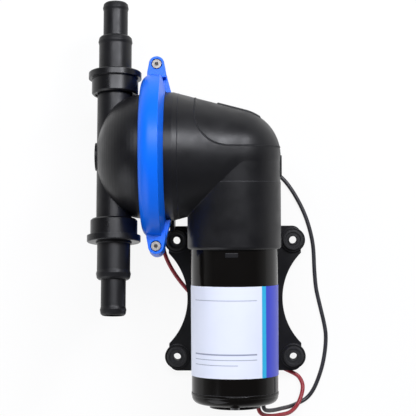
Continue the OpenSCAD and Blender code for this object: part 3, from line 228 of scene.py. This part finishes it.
blackPath = smoothRoute(leads["black"], leads["rounds"])
redPath = smoothRoute(leads["red"], leads["rounds"])
blackLead = closedTube("blackLead", blackPath, leads["radius"], leads["sides"])
redLead = closedTube("redLead", redPath, leads["radius"], leads["sides"])
blackEnd, redEnd = leads["black"][-1], leads["red"][-1]
blackStrands = strands("blackStrands", blackEnd, np.add(blackEnd, (-leads["strip"], 0, 0)), leads)
redStrands = strands("redStrands", redEnd, np.add(redEnd, (0, leads["strip"], 0)), leads)
print("leads made:", round(routeLength(blackPath)), "mm and", round(routeLength(redPath)), "mm")

# Finishes. Sizes are real ones in millimetres; grain finer than a picture dot is drawn coarser, as noted.
# What they all share: the detail of their noises, where an edge starts to show, and the noise's usual range
surface = {"mottleDetail": 3.0, "fineDetail": 2.0, "bevelSamples": 6, "edgeShows": 0.9, "noiseLow": 0.3,
           "noiseHigh": 0.7, "specular": 0.5}


def moulded(s):
    # Base colour with slow mottling, roughness that drifts, fine grain as bump, and edges rounded and
    # painted paler: partly wear, partly a painted highlight that every edge gets whatever the light
    material, tree = newMaterial(s["name"])
    place = addNode(tree, "TexCoord").outputs["Object"]
    detail = {"mottle": surface["mottleDetail"], "drift": surface["fineDetail"], "grain": surface["fineDetail"]}
    mottle, drift, grain = (
        addNode(tree, "TexNoise", {"Scale": 1 / (s[kind] * mm), "Detail": detail[kind]}, {"Vector": place})
        for kind in ("mottle", "drift", "grain"))
    rounded = addNode(tree, "Bevel", {"samples": surface["bevelSamples"], "Radius": s["edge"] * mm})
    flat = addNode(tree, "NewGeometry")
    sharp = addNode(tree, "VectorMath", {"operation": "DOT_PRODUCT"},
                    {0: rounded.outputs[0], 1: flat.outputs["Normal"]})
    # Paler edges: partly wear, partly painted highlight
    wearAndSheen = addNode(tree, "MapRange", {"From Min": 1.0, "From Max": surface["edgeShows"], "To Min": 0.0,
                                      "To Max": s["wearAndSheen"]}, {"Value": sharp.outputs["Value"]})
    tone = addNode(tree, "Mix", {"data_type": "RGBA", 6: hexColour(s["dark"]), 7: hexColour(s["light"])},
                   {0: mottle.outputs[0]})
    colour = addNode(tree, "Mix", {"data_type": "RGBA", 7: hexColour(s["wornAndSheen"])},
                     {0: wearAndSheen.outputs[0], 6: tone.outputs[2]})
    rough = addNode(tree, "MapRange", {"From Min": surface["noiseLow"], "From Max": surface["noiseHigh"],
                                       "To Min": s["rough"][0], "To Max": s["rough"][1]},
                    {"Value": drift.outputs[0]})
    bump = addNode(tree, "Bump", {"Strength": s["bump"], "Distance": s["depth"] * mm},
                   {"Height": grain.outputs[0], "Normal": rounded.outputs[0]})
    shader = addNode(tree, "BsdfPrincipled", {"IOR": s["ior"], "Metallic": s.get("metal", 0.0),
                                              "Specular IOR Level": s.get("specular", surface["specular"])},
                     {"Base Color": colour.outputs[2], "Roughness": rough.outputs[0],
                      "Normal": bump.outputs[0]})
    addNode(tree, "OutputMaterial", {}, {"Surface": shader.outputs[0]})
    return material


# Glass-filled polypropylene, injection moulded: near black, satin, with a fine spark-eroded grain.
# The real grain is 0.2 mm; it is drawn at 0.9 mm so that it just shows.
blackMoulding = moulded({"name": "polypropyleneMoulded", "dark": "#0E0E10", "light": "#151518", "wornAndSheen": "#26262C",
                         "mottle": 30, "drift": 14, "grain": 0.9, "rough": (0.33, 0.47), "bump": 0.12,
                         "depth": 0.12, "edge": 0.9, "wearAndSheen": 0.5, "ior": 1.49, "specular": 0.32})
# The collars are of the same resin off a smoother mould, so they are a little glossier
collarMoulding = moulded({"name": "polypropyleneSmooth", "dark": "#0B0B0D", "light": "#111114", "wornAndSheen": "#222228",
                          "mottle": 20, "drift": 10, "grain": 0.8, "rough": (0.26, 0.36), "bump": 0.08,
                          "depth": 0.1, "edge": 0.6, "wearAndSheen": 0.5, "ior": 1.49, "specular": 0.36})
# Azure nylon, injection moulded and semi-gloss: even colour, edges a touch paler, partly wear and partly painted
# highlight
azureNylon = moulded({"name": "nylonAzure", "dark": "#0562E2", "light": "#0A70F6", "wornAndSheen": "#2380FF",
                      "mottle": 40, "drift": 16, "grain": 1.2, "rough": (0.3, 0.4), "bump": 0.05,
                      "depth": 0.1, "edge": 0.9, "wearAndSheen": 0.35, "ior": 1.53, "specular": 0.2})
# Black stoving enamel on a drawn steel can: deep gloss with slight orange peel, drawn at 2.5 mm
blackEnamel = moulded({"name": "enamelStoved", "dark": "#080706", "light": "#0D0B0A", "wornAndSheen": "#211F1D",
                       "mottle": 30, "drift": 20, "grain": 2.5, "rough": (0.14, 0.2), "bump": 0.06,
                       "depth": 0.08, "edge": 0.5, "wearAndSheen": 0.4, "ior": 1.52, "specular": 0.22})
# Nitrile rubber, compression moulded: matte, grey-black, a little bloom
nitrileRubber = moulded({"name": "rubberNitrile", "dark": "#141416", "light": "#1E1E20", "wornAndSheen": "#2E2E32",
                         "mottle": 7, "drift": 5, "grain": 0.8, "rough": (0.6, 0.78), "bump": 0.2,
                         "depth": 0.12, "edge": 0.5, "wearAndSheen": 0.4, "ior": 1.52})
# Silicone rubber for the valves, moulded: mid grey and matte
greyRubber = moulded({"name": "rubberGrey", "dark": "#6E7176", "light": "#83868C", "wornAndSheen": "#9A9DA2",
                      "mottle": 6, "drift": 5, "grain": 0.8, "rough": (0.5, 0.66), "bump": 0.15,
                      "depth": 0.1, "edge": 0.3, "wearAndSheen": 0.3, "ior": 1.52})
# Acetal, machined and moulded: creamy white and waxy
acetalNatural = moulded({"name": "acetalNatural", "dark": "#D9D4C6", "light": "#E8E4D8", "wornAndSheen": "#F2EFE6",
                         "mottle": 12, "drift": 6, "grain": 0.7, "rough": (0.32, 0.45), "bump": 0.06,
                         "depth": 0.08, "edge": 0.2, "wearAndSheen": 0.3, "ior": 1.48})
# Turned stainless steel: bright, with faint lathe marks
stainlessTurned = moulded({"name": "stainlessTurned", "dark": "#C3C1BE", "light": "#DAD8D5", "wornAndSheen": "#F0EFED",
                           "mottle": 4, "drift": 3, "grain": 0.6, "rough": (0.2, 0.34), "bump": 0.08,
                           "depth": 0.05, "edge": 0.25, "wearAndSheen": 0.6, "ior": 1.5, "metal": 1.0})
# Stainless steel as cold headed, not turned: greyer and duller, so that a white room doesn't bleach it
stainlessHeaded = moulded({"name": "stainlessHeaded", "dark": "#827F7B", "light": "#93908C", "wornAndSheen": "#ABA8A4",
                           "mottle": 3, "drift": 2, "grain": 0.6, "rough": (0.46, 0.6), "bump": 0.12,
                           "depth": 0.06, "edge": 0.4, "wearAndSheen": 0.6, "ior": 1.5, "metal": 1.0})
# Steel drawn dark as painted shade at the floor of a hexagonal socket
paintedSocketShade = moulded({"name": "paintedSocketShade", "dark": "#3C3A38", "light": "#4A4846", "wornAndSheen": "#5A5856",
                        "mottle": 2, "drift": 2, "grain": 0.6, "rough": (0.5, 0.65), "bump": 0.1,
                        "depth": 0.05, "edge": 0.1, "wearAndSheen": 0.2, "ior": 1.5, "metal": 1.0})
# Carbon steel, machined and oiled: darker, with a broader sheen
steelOiled = moulded({"name": "steelOiled", "dark": "#6A6A6C", "light": "#7E7E80", "wornAndSheen": "#A8A8AA",
                      "mottle": 8, "drift": 6, "grain": 0.7, "rough": (0.3, 0.45), "bump": 0.1,
                      "depth": 0.06, "edge": 0.3, "wearAndSheen": 0.6, "ior": 1.5, "metal": 1.0})
# Bronze and brass, turned
brassTurned = moulded({"name": "brassTurned", "dark": "#B58F45", "light": "#CBA65A", "wornAndSheen": "#E3C683",
                       "mottle": 6, "drift": 4, "grain": 0.6, "rough": (0.24, 0.38), "bump": 0.08,
                       "depth": 0.05, "edge": 0.2, "wearAndSheen": 0.5, "ior": 1.5, "metal": 1.0})
# Enamelled copper wire and bare copper segments
copperWound = moulded({"name": "copperWound", "dark": "#9A5225", "light": "#B5663A", "wornAndSheen": "#D08A5C",
                       "mottle": 3, "drift": 3, "grain": 0.7, "rough": (0.25, 0.4), "bump": 0.3,
                       "depth": 0.15, "edge": 0.2, "wearAndSheen": 0.4, "ior": 1.5, "metal": 1.0})
# Sintered ferrite and pressed carbon: dull dark grey
ferriteSintered = moulded({"name": "ferriteSintered", "dark": "#2B2B2E", "light": "#38383C", "wornAndSheen": "#4C4C50",
                           "mottle": 5, "drift": 4, "grain": 0.7, "rough": (0.55, 0.7), "bump": 0.15,
                           "depth": 0.1, "edge": 0.3, "wearAndSheen": 0.4, "ior": 1.6})
# Phenolic card, pressed from paper and resin: brown, half matte
phenolicCard = moulded({"name": "phenolicCard", "dark": "#3A2A1C", "light": "#4A3724", "wornAndSheen": "#6A5238",
                        "mottle": 6, "drift": 5, "grain": 0.7, "rough": (0.4, 0.55), "bump": 0.1,
                        "depth": 0.08, "edge": 0.2, "wearAndSheen": 0.3, "ior": 1.55})
# Extruded PVC insulation: satin, with faint ripples along the lead
pvcBlack = moulded({"name": "pvcBlack", "dark": "#242428", "light": "#303036", "wornAndSheen": "#3A3A40",
                    "mottle": 12, "drift": 6, "grain": 1.5, "rough": (0.38, 0.5), "bump": 0.1,
                    "depth": 0.15, "edge": 0.2, "wearAndSheen": 0.0, "ior": 1.53})
pvcRed = moulded({"name": "pvcRed", "dark": "#8C1522", "light": "#A01E2C", "wornAndSheen": "#B83240",
                  "mottle": 12, "drift": 6, "grain": 1.5, "rough": (0.36, 0.48), "bump": 0.1,
                  "depth": 0.15, "edge": 0.2, "wearAndSheen": 0.0, "ior": 1.53})

# Label: printed vinyl with a satin laminate. Places along the motor are in millimetres in Y, places
# round it in degrees from the front, positive towards +X. A rule is its place, width, and both ends.
label = {"ground": "#E6EBF9", "ground2": "#DFE5F5", "cyan": "#22AEDC", "blue": "#2C3CC4", "rule": "#8E95AC",
         "cyanFrom": 38.0, "blueFrom": 45.0, "cloud": 18.0, "fibre": 1.5, "detail": 2.0, "rough": (0.32, 0.42),
         "bump": 0.04, "depth": 0.05, "ior": 1.5,
         "rules": [(3.5, 0.5, -62, 30), (-37.0, 1.1, -62, 30), (-41.0, 0.5, -62, 30), (-45.0, 0.5, -62, 4)]}


def printedVinyl(s):
    # Angle round the motor is atan2(x, z - axis height); each band is a step of that angle or of y
    material, tree = newMaterial("vinylPrinted")
    place = addNode(tree, "TexCoord").outputs["Object"]
    parts = addNode(tree, "SeparateXYZ", {}, {0: place})
    height = addNode(tree, "Math", {"operation": "SUBTRACT", 1: pump["axisZ"] * mm}, {0: parts.outputs[2]})
    turn = addNode(tree, "Math", {"operation": "ARCTAN2"}, {0: parts.outputs[0], 1: height.outputs[0]})

    def above(source, value):
        return addNode(tree, "Math", {"operation": "GREATER_THAN", 1: value}, {0: source}).outputs[0]

    def layer(under, factor, code):
        return addNode(tree, "Mix", {"data_type": "RGBA", 7: hexColour(code)},
                       {0: factor, 6: under}).outputs[2]

    cloud, fibre = (
        addNode(tree, "TexNoise", {"Scale": 1 / (s[kind] * mm), "Detail": s["detail"]}, {"Vector": place})
        for kind in ("cloud", "fibre"))
    colour = addNode(tree, "Mix", {"data_type": "RGBA", 6: hexColour(s["ground"]), 7: hexColour(s["ground2"])},
                     {0: cloud.outputs[0]}).outputs[2]
    for y, thick, low, high in s["rules"]:
        gap = addNode(tree, "Math", {"operation": "SUBTRACT", 1: y * mm}, {0: parts.outputs[1]}).outputs[0]
        size = addNode(tree, "Math", {"operation": "ABSOLUTE"}, {0: gap}).outputs[0]
        inY = addNode(tree, "Math", {"operation": "LESS_THAN", 1: thick / 2 * mm}, {0: size}).outputs[0]
        inTurn = addNode(tree, "Math", {"operation": "SUBTRACT"},
                         {0: above(turn.outputs[0], math.radians(low)),
                          1: above(turn.outputs[0], math.radians(high))}).outputs[0]
        both = addNode(tree, "Math", {"operation": "MULTIPLY"}, {0: inY, 1: inTurn}).outputs[0]
        colour = layer(colour, both, s["rule"])
    colour = layer(colour, above(turn.outputs[0], math.radians(s["cyanFrom"])), s["cyan"])
    colour = layer(colour, above(turn.outputs[0], math.radians(s["blueFrom"])), s["blue"])
    rough = addNode(tree, "MapRange", {"To Min": s["rough"][0], "To Max": s["rough"][1]},
                    {"Value": fibre.outputs[0]})
    bump = addNode(tree, "Bump", {"Strength": s["bump"], "Distance": s["depth"] * mm},
                   {"Height": fibre.outputs[0]})
    shader = addNode(tree, "BsdfPrincipled", {"IOR": s["ior"]},
                     {"Base Color": colour, "Roughness": rough.outputs[0], "Normal": bump.outputs[0]})
    addNode(tree, "OutputMaterial", {}, {"Surface": shader.outputs[0]})
    return material


vinylPrinted = printedVinyl(label)

finishes = {
    blackMoulding: "pump_head inlet_port outlet_port crank_housing crank_cover base_plate",
    collarMoulding: "inlet_collar outlet_collar",
    azureNylon: "clamp_front_half clamp_rear_half",
    blackEnamel: "motor_can end_bell",
    vinylPrinted: "motor_label",
    stainlessHeaded: "clamp_screws clamp_nuts",
    stainlessTurned: "diaphragm_screw diaphragm_front_plate diaphragm_back_plate "
                     "rod_bearing_outer rod_bearing_balls rod_bearing_inner lower_bearing_outer "
                     "lower_bearing_balls lower_bearing_inner upper_bearing_outer upper_bearing_balls "
                     "upper_bearing_inner output_shaft planet_pins motor_shaft brush_springs "
                     "base_screws eccentric_screw",
    steelOiled: "eccentric planet_carrier motor_plate armature_core through_bolts",
    nitrileRubber: "diaphragm rubber_feet lead_grommet",
    greyRubber: "inlet_valve outlet_valve",
    acetalNatural: "connecting_rod planet_gear_a planet_gear_b planet_gear_c ring_gear",
    brassTurned: "sun_gear motor_bushes",
    copperWound: "armature_windings commutator lead_tips",
    ferriteSintered: "magnets brushes",
    phenolicCard: "brush_card",
    pvcBlack: "black_lead",
    pvcRed: "red_lead",
}
for material, names in finishes.items():
    for node in names.split():
        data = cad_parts[node].data
        data.materials.clear()
        data.materials.append(material)
print("finishes made:", len(finishes))

finishPiece(blackLead, "pump", pvcBlack, "lead_black", "black_lead")
finishPiece(redLead, "pump", pvcRed, "lead_red", "red_lead")
finishPiece(blackStrands, "pump", copperWound, "copper", "lead_tips")
finishPiece(redStrands, "pump", copperWound, "copper")

# Rubber feet: a disc below the plate, a neck through it and a dished rim above, turned round the hole
foot = {"pitch": 94.0, "holeR": 3.0, "bottomR": 9.5, "neckR": 6.5, "rimR": 8.2, "plateZ": 4.0, "neckTop": 11.0,
        "rimTop": 13.0, "dish": 0.7, "round": 0.7, "steps": 72, "arcPoints": 6, "rimIn": 1.9, "dishIn": 2.3,
        "lipOut": 1.3, "lipTopOut": 0.9, "lipTopIn": 0.3, "lipDrop": 0.25, "holeDrop": 0.55}


def footProfile(s):
    # Radius and height, from the hole's foot outwards and up to the hole's rim
    e, r, hole, top = s["round"], s["rimR"], s["holeR"], s["rimTop"]
    arc = np.radians(np.linspace(-90, 0, s["arcPoints"]))
    low = [(s["bottomR"] - e + e * math.cos(a), e + e * math.sin(a)) for a in arc]
    arc = np.radians(np.linspace(0, 90, s["arcPoints"]))
    high = [(r - e + e * math.cos(a), top - e + e * math.sin(a)) for a in arc]
    ring = [(r - s["rimIn"], top), (r - s["dishIn"], top - s["dish"]), (hole + s["lipOut"], top - s["dish"]),
            (hole + s["lipTopOut"], top - s["lipDrop"]), (hole + s["lipTopIn"], top - s["lipDrop"]),
            (hole, top - s["holeDrop"])]
    return np.array([(hole, 0.0), *low, (s["bottomR"], s["plateZ"]), (s["neckR"], s["plateZ"]),
                     (s["neckR"], s["neckTop"]), (r, s["neckTop"]), *high, *ring])


def revolve(name, profile, centre, steps):
    # Closed profile of radius and height, turned round a vertical axis into a ring
    angle = np.linspace(0, 2 * math.pi, steps, endpoint=False)
    r, h = profile[:, 0][:, None], profile[:, 1][:, None]
    points = np.stack([centre[0] + r * np.cos(angle), centre[1] + r * np.sin(angle), h + 0 * angle], axis=-1)
    return gridMesh(name, points, closeU=True, closeV=True)


def sharpen(piece, degrees=35.0):
    # Edges steeper than this angle stay crisp and the rest shade smoothly
    bpy.ops.object.select_all(action="DESELECT")
    piece.select_set(True)
    bpy.context.view_layer.objects.active = piece
    bpy.ops.object.shade_smooth_by_angle(angle=math.radians(degrees))


feet = [revolve(f"foot{i}{j}", footProfile(foot), (i * foot["pitch"] / 2, j * foot["pitch"] / 2), foot["steps"])
        for i in (-1, 1) for j in (-1, 1)]
rubberFeet = joinPieces("rubberFeet", feet)
sharpen(rubberFeet)
finishPiece(rubberFeet, "pump", nitrileRubber, "soft_black", "rubber_feet")
print("feet made")

# Outside of the elbow housing, in millimetres: a barrel on the diaphragm axis, a taper that touches a
# sphere, and the rounded corner of the cover's seam as seen from the front: its left side is seamX left
# of the motor axis, its lower side seamY over the diaphragm axis
elbow = {"barrelR": 49.3, "barrelEnd": -46.25, "ballR": 36.0, "seamX": 29.5, "seamY": 6.5, "seamR": 26.0}


def elbowRadius(x, s=elbow):
    # Radius of the housing round the diaphragm axis at x: barrel, then the straight taper, then the sphere
    far = math.hypot(s["barrelEnd"], s["barrelR"])
    angle = math.acos(s["ballR"] / far) - math.atan2(-s["barrelEnd"], s["barrelR"])
    touchX, touchR = s["ballR"] * math.sin(angle), s["ballR"] * math.cos(angle)
    taper = s["barrelR"] + (touchR - s["barrelR"]) * (x - s["barrelEnd"]) / (touchX - s["barrelEnd"])
    ball = np.sqrt(np.maximum(s["ballR"] ** 2 - x ** 2, 0.0))
    return np.where(x < s["barrelEnd"], s["barrelR"], np.where(x < touchX, taper, ball))


def loopTube(name, path, radius, sides):
    # A ring of the given radius round each point of a closed path that lies on the housing; the ring's
    # first arm points away from the diaphragm axis
    along = np.roll(path, -1, axis=0) - np.roll(path, 1, axis=0)
    along /= np.linalg.norm(along, axis=1, keepdims=True)
    out = path - np.array([0.0, pump["headY"], pump["axisZ"]])
    out[:, 0] = 0
    out -= (out * along).sum(axis=1, keepdims=True) * along
    out /= np.linalg.norm(out, axis=1, keepdims=True)
    side = np.cross(along, out)
    angle = np.linspace(0, 2 * math.pi, sides, endpoint=False)[None, :, None]
    rings = path[:, None] + radius * (np.cos(angle) * out[:, None] + np.sin(angle) * side[:, None])
    return gridMesh(name, rings, closeU=True, closeV=True)


def easedSpan(start, end, steps):
    # Places from start to end that crowd towards both ends: half of one minus the cosine of a half turn
    return start + (1 - np.cos(np.linspace(0, math.pi, steps))) / 2 * (end - start)


seam = {"shadeLine": 0.4, "lip": 0.34, "lipIn": 0.75, "sides": 10, "steps": 400}


def seamLoop(grow, s=elbow):
    # Down the seam's left side, round its corner and along its lower side, seen from the front, lifted
    # onto the housing; then the same way back behind
    centre = np.array([s["seamR"] - s["seamX"], pump["headY"] + s["seamY"] + s["seamR"]])
    r = s["seamR"] + grow
    leftX, lowY = centre[0] - r, centre[1] - r
    topY = pump["headY"] + float(elbowRadius(np.array(leftX)))
    rightX = math.sqrt(s["ballR"] ** 2 - (lowY - pump["headY"]) ** 2)
    lengths = np.array([topY - centre[1], r * math.pi / 2, rightX - centre[0]])
    t = easedSpan(0, lengths.sum(), seam["steps"])
    turn = math.pi + np.clip((t - lengths[0]) / r, 0, math.pi / 2)
    x = centre[0] + r * np.cos(turn) + np.clip(t - lengths[0] - lengths[1], 0, None)
    y = centre[1] + r * np.sin(turn) + np.clip(lengths[0] - t, 0, None)
    rise = np.sqrt(np.maximum(elbowRadius(x) ** 2 - (y - pump["headY"]) ** 2, 0))
    front = np.stack([x, y, pump["axisZ"] + rise], axis=1)
    back = np.stack([x, y, pump["axisZ"] - rise], axis=1)[::-1]
    return np.concatenate([front, back[1:-1]])


# A dark rubber line along the seam: painted shade of the gap between cover and housing. Beside it a raised lip of
# the housing's own moulding
seamShadeLine = loopTube("seamShadeLine", seamLoop(0.0), seam["shadeLine"], seam["sides"])
finishPiece(seamShadeLine, "pump", nitrileRubber, "soft_black")
coverLip = loopTube("coverLip", seamLoop(-seam["lipIn"]), seam["lip"], seam["sides"])
finishPiece(coverLip, "pump", blackMoulding, "black_moulding")


def superRound(angle, power):
    # Cosine and sine drawn towards a square: each to the given power, with its sign
    c, s = np.cos(angle), np.sin(angle)
    return np.sign(c) * np.abs(c) ** power, np.sign(s) * np.abs(s) ** power


def drawnIn(places, reach):
    # How full a section is along a piece: a quarter circle's rise over the given reach from either end
    ends = np.minimum(places - places[0], places[-1] - places)
    return np.sqrt(1 - np.clip(1 - ends / reach, 0, 1) ** 2)[:, None]


topPad = {"start": -12.8, "end": 21.0, "halfWidth": 7.0, "proud": 1.0, "sunk": 0.6, "round": 1.2, "square": 0.35,
          "sides": 48, "steps": 60}


def raisedPad(name, s):
    # A pad along X on top of the housing: each ring is a rounded rectangle of width along the surface
    # and height off it, which draws in at both ends
    x = easedSpan(s["start"], s["end"], s["steps"])
    full = drawnIn(x, s["round"])
    across, up = superRound(np.linspace(0, 2 * math.pi, s["sides"], endpoint=False), s["square"])
    r = elbowRadius(x)[:, None]
    width = (s["halfWidth"] - s["round"] + s["round"] * full) * across
    height = r - s["sunk"] + (s["sunk"] + s["proud"]) * full * up
    turn = width / r
    points = np.stack([x[:, None] + 0 * turn, pump["headY"] + height * np.cos(turn),
                       pump["axisZ"] + height * np.sin(turn)], axis=-1)
    return gridMesh(name, points, closeV=True)


coverPad = raisedPad("coverPad", topPad)
finishPiece(coverPad, "pump", blackMoulding, "black_moulding")

# Fine raised line round the barrel where the two halves of its mould met
mouldLine = {"x": -42.0, "r": 0.28, "sides": 8, "steps": 180}
lineTurn = np.linspace(0, 2 * math.pi, mouldLine["steps"], endpoint=False)
lineR = float(elbowRadius(np.array(mouldLine["x"])))
linePath = np.stack([mouldLine["x"] + 0 * lineTurn, pump["headY"] + lineR * np.cos(lineTurn),
                     pump["axisZ"] + lineR * np.sin(lineTurn)], axis=1)
barrelLine = loopTube("barrelLine", linePath, mouldLine["r"], mouldLine["sides"])
finishPiece(barrelLine, "pump", blackMoulding, "black_moulding")

# Raised strip on the housing's right side
bar = {"square": 0.4, "sides": 32, "steps": 30}
strip = {"x": 35.6, "start": 96.5, "end": 113.5, "halfX": 1.2, "halfZ": 3.2, "round": 0.8}


def roundBar(name, x, z, s):
    # A bar along Y whose section is a rounded rectangle, drawn in at both ends over its rounding
    y = easedSpan(s["start"], s["end"], bar["steps"])
    drawn = s["round"] * drawnIn(y, s["round"]) - s["round"]
    across, up = superRound(np.linspace(0, 2 * math.pi, bar["sides"], endpoint=False), bar["square"])
    points = np.stack([x + (s["halfX"] + drawn) * across, y[:, None] + 0 * across,
                       z + (s["halfZ"] + drawn) * up], axis=-1)
    return gridMesh(name, points, closeV=True)


sideStrip = roundBar("sideStrip", strip["x"], pump["axisZ"], strip)
finishPiece(sideStrip, "pump", blackMoulding, "black_moulding")

# Rolled bead at the mouth of the motor can, and above it a thin dark ring as painted shade of the groove, both
# turned round the motor axis
bead = {"y": -69.5, "halfY": 1.15, "halfR": 0.34, "sides": 16, "steps": 180}
grooveShade = {"y": -68.05, "halfY": 0.2, "halfR": 0.2, "sides": 16, "steps": 180}


def canRing(name, s):
    # An ellipse of place along the can and distance off it, turned round the motor axis
    section = np.linspace(0, 2 * math.pi, s["sides"], endpoint=False)[:, None]
    turn = np.linspace(0, 2 * math.pi, s["steps"], endpoint=False)
    y = s["y"] + s["halfY"] * np.cos(section)
    r = pump["motorR"] + s["halfR"] * np.sin(section)
    points = np.stack([r * np.sin(turn), y + 0 * turn, pump["axisZ"] + r * np.cos(turn)], axis=-1)
    return gridMesh(name, points, closeU=True, closeV=True)


finishPiece(canRing("rolledBead", bead), "pump", blackEnamel, "motor_paint")
# The groove is a dark rubber ring: painted shade
finishPiece(canRing("grooveShadeRing", grooveShade), "pump", nitrileRubber, "motor_paint")

# Small plain pad on the front of the can, sunk a little, below the housing's mouth
frontPad = {"x": -1.9, "start": 35.8, "end": 39.4, "halfX": 4.9, "halfZ": 0.5, "round": 0.4, "sunk": 0.2}
canPad = roundBar("canPad", frontPad["x"], pump["axisZ"] + pump["motorR"] - frontPad["sunk"], frontPad)
finishPiece(canPad, "pump", blackMoulding, "black_moulding")

# Thin dark bar down the rolled can, painted shade of its seam, at an angle round it from the front
seamShadeBar = {"turn": 66.0, "start": -67.4, "end": -55.6, "halfX": 0.3, "halfZ": 0.3, "round": 0.2}
seamTurn = math.radians(seamShadeBar["turn"])
canSeamShade = roundBar("canSeamShade", pump["motorR"] * math.sin(seamTurn),
                   pump["axisZ"] + pump["motorR"] * math.cos(seamTurn), seamShadeBar)
finishPiece(canSeamShade, "pump", nitrileRubber, "motor_paint")

# Dark plugs at the floors of the two clamp screws' hexagonal sockets, painted shade of the deep sockets, at a
# distance either way from the diaphragm axis and at heights over it before the ring's turn
socket = {"x": -59.25, "out": 71.0, "floor": 8.84, "top": 9.5, "r": 1.46, "turn": 9.5, "sides": 6}


def hexPlug(name, side, s):
    # A shallow dark hexagonal plug in a lug's screw socket, painted shade, turned with the ring about the
    # diaphragm axis
    angle = np.linspace(0, 2 * math.pi, s["sides"], endpoint=False)
    r = np.array([0.0, s["r"], s["r"], 0.0])[:, None]
    z = np.array([s["floor"], s["floor"], s["top"], s["top"]])[:, None] + 0 * angle
    y = side * s["out"] + r * np.sin(angle)
    c, w = math.cos(math.radians(s["turn"])), math.sin(math.radians(s["turn"]))
    points = np.stack([s["x"] + r * np.cos(angle), pump["headY"] + y * c + z * w,
                       pump["axisZ"] - y * w + z * c], axis=-1)
    return gridMesh(name, points, closeV=True)


# The plugs' dark steel is painted shade in the sockets
socketShadePlugs = joinPieces("socketShadePlugs", [hexPlug(f"socket{side}", side, socket) for side in (1, -1)])
sharpen(socketShadePlugs)
finishPiece(socketShadePlugs, "pump", paintedSocketShade, "dark_steel")
print("trim made")

# Floor and surroundings: the floor's size and grain in millimetres, the share of its own glow that shows,
# and the strength of the surroundings at the horizon and from the height skyTop upwards
studio = {"floor": "#F4F4F4", "size": 4000.0, "keep": 0.9, "tooth": 2.0, "bump": 0.03, "depth": 0.05,
          "horizon": 0.55, "zenith": 0.12, "skyTop": 0.5, "white": "#FFFFFF"}


def makeFloor(s):
    # The floor shows nearly white to the eye and in reflections, and keeps part of the shadow on it
    half = s["size"] / 2
    corner = np.array([[[-half, -half, 0], [-half, half, 0]], [[half, -half, 0], [half, half, 0]]], float)
    floor = gridMesh("floor", corner)
    material, tree = newMaterial("paperSweep")
    place = addNode(tree, "TexCoord").outputs["Object"]
    tooth = addNode(tree, "TexNoise", {"Scale": 1 / (s["tooth"] * mm)}, {"Vector": place})
    bump = addNode(tree, "Bump", {"Strength": s["bump"], "Distance": s["depth"] * mm},
                   {"Height": tooth.outputs[0]})
    matte = addNode(tree, "BsdfDiffuse", {"Color": hexColour(s["floor"])}, {"Normal": bump.outputs[0]})
    glow = addNode(tree, "Emission", {"Color": hexColour(s["white"]), "Strength": 1.0})
    path = addNode(tree, "LightPath")
    seen = addNode(tree, "Math", {"operation": "MAXIMUM"},
                   {0: path.outputs["Is Camera Ray"], 1: path.outputs["Is Glossy Ray"]})
    seen = addNode(tree, "Math", {"operation": "MAXIMUM"},
                   {0: seen.outputs[0], 1: path.outputs["Is Transmission Ray"]})
    share = addNode(tree, "Math", {"operation": "MULTIPLY", 1: s["keep"]}, {0: seen.outputs[0]})
    both = addNode(tree, "MixShader", {}, {0: share.outputs[0], 1: matte.outputs[0], 2: glow.outputs[0]})
    addNode(tree, "OutputMaterial", {}, {"Surface": both.outputs[0]})
    floor.data.materials.append(material)


def makeWorld(s):
    # White to the camera alone. For the rest soft surroundings, pale towards the horizon and dim overhead,
    # so that black plastic stays black
    world = bpy.data.worlds.new("studioRoom")
    bpy.context.scene.world = world
    world.use_nodes = True
    tree = world.node_tree
    tree.nodes.clear()
    direction = addNode(tree, "TexCoord").outputs["Generated"]
    parts = addNode(tree, "SeparateXYZ", {}, {0: direction})
    level = addNode(tree, "MapRange", {"From Min": 0.0, "From Max": s["skyTop"], "To Min": s["horizon"],
                                       "To Max": s["zenith"]}, {"Value": parts.outputs[2]})
    soft = addNode(tree, "Background", {"Color": hexColour(s["white"])}, {"Strength": level.outputs[0]})
    clear = addNode(tree, "Background", {"Color": hexColour(s["white"]), "Strength": 1.0})
    path = addNode(tree, "LightPath")
    both = addNode(tree, "MixShader", {}, {0: path.outputs["Is Camera Ray"], 1: soft.outputs[0],
                                           2: clear.outputs[0]})
    addNode(tree, "OutputWorld", {}, {"Surface": both.outputs[0]})


# Lamps, in metres and watts, of one slightly cool light: a long box overhead, a narrow one that glints on
# the cover, and a broad fill from the left
lampTone = (0.93, 0.94, 1.0)
lampTarget = (-0.02, 0.08, 0.07)
lamps = [
    {"name": "topBox", "place": (0.02, 0.72, 1.22), "size": (1.1, 0.45), "power": 15.0},
    {"name": "keyBox", "place": (0.44, 0.62, 0.74), "size": (0.16, 0.3), "power": 4.6},
    {"name": "sideBox", "place": (-0.9, -0.8, 0.7), "size": (1.0, 1.0), "power": 7.0},
]


def makeLamp(s):
    # A flat box of light that faces the pump
    data = bpy.data.lights.new(s["name"], "AREA")
    data.shape = "RECTANGLE"
    data.size, data.size_y = s["size"]
    data.energy = s["power"]
    data.color = lampTone
    lamp = bpy.data.objects.new(s["name"], data)
    lamp.location = s["place"]
    away = np.subtract(s["place"], lampTarget)
    lamp.rotation_euler = Vector(away.tolist()).to_track_quat("Z", "Y").to_euler()
    bpy.context.scene.collection.objects.link(lamp)


makeFloor(studio)
makeWorld(studio)
for lamp in lamps:
    makeLamp(lamp)
bpy.context.scene.view_settings.view_transform = "Standard"
print("studio made")
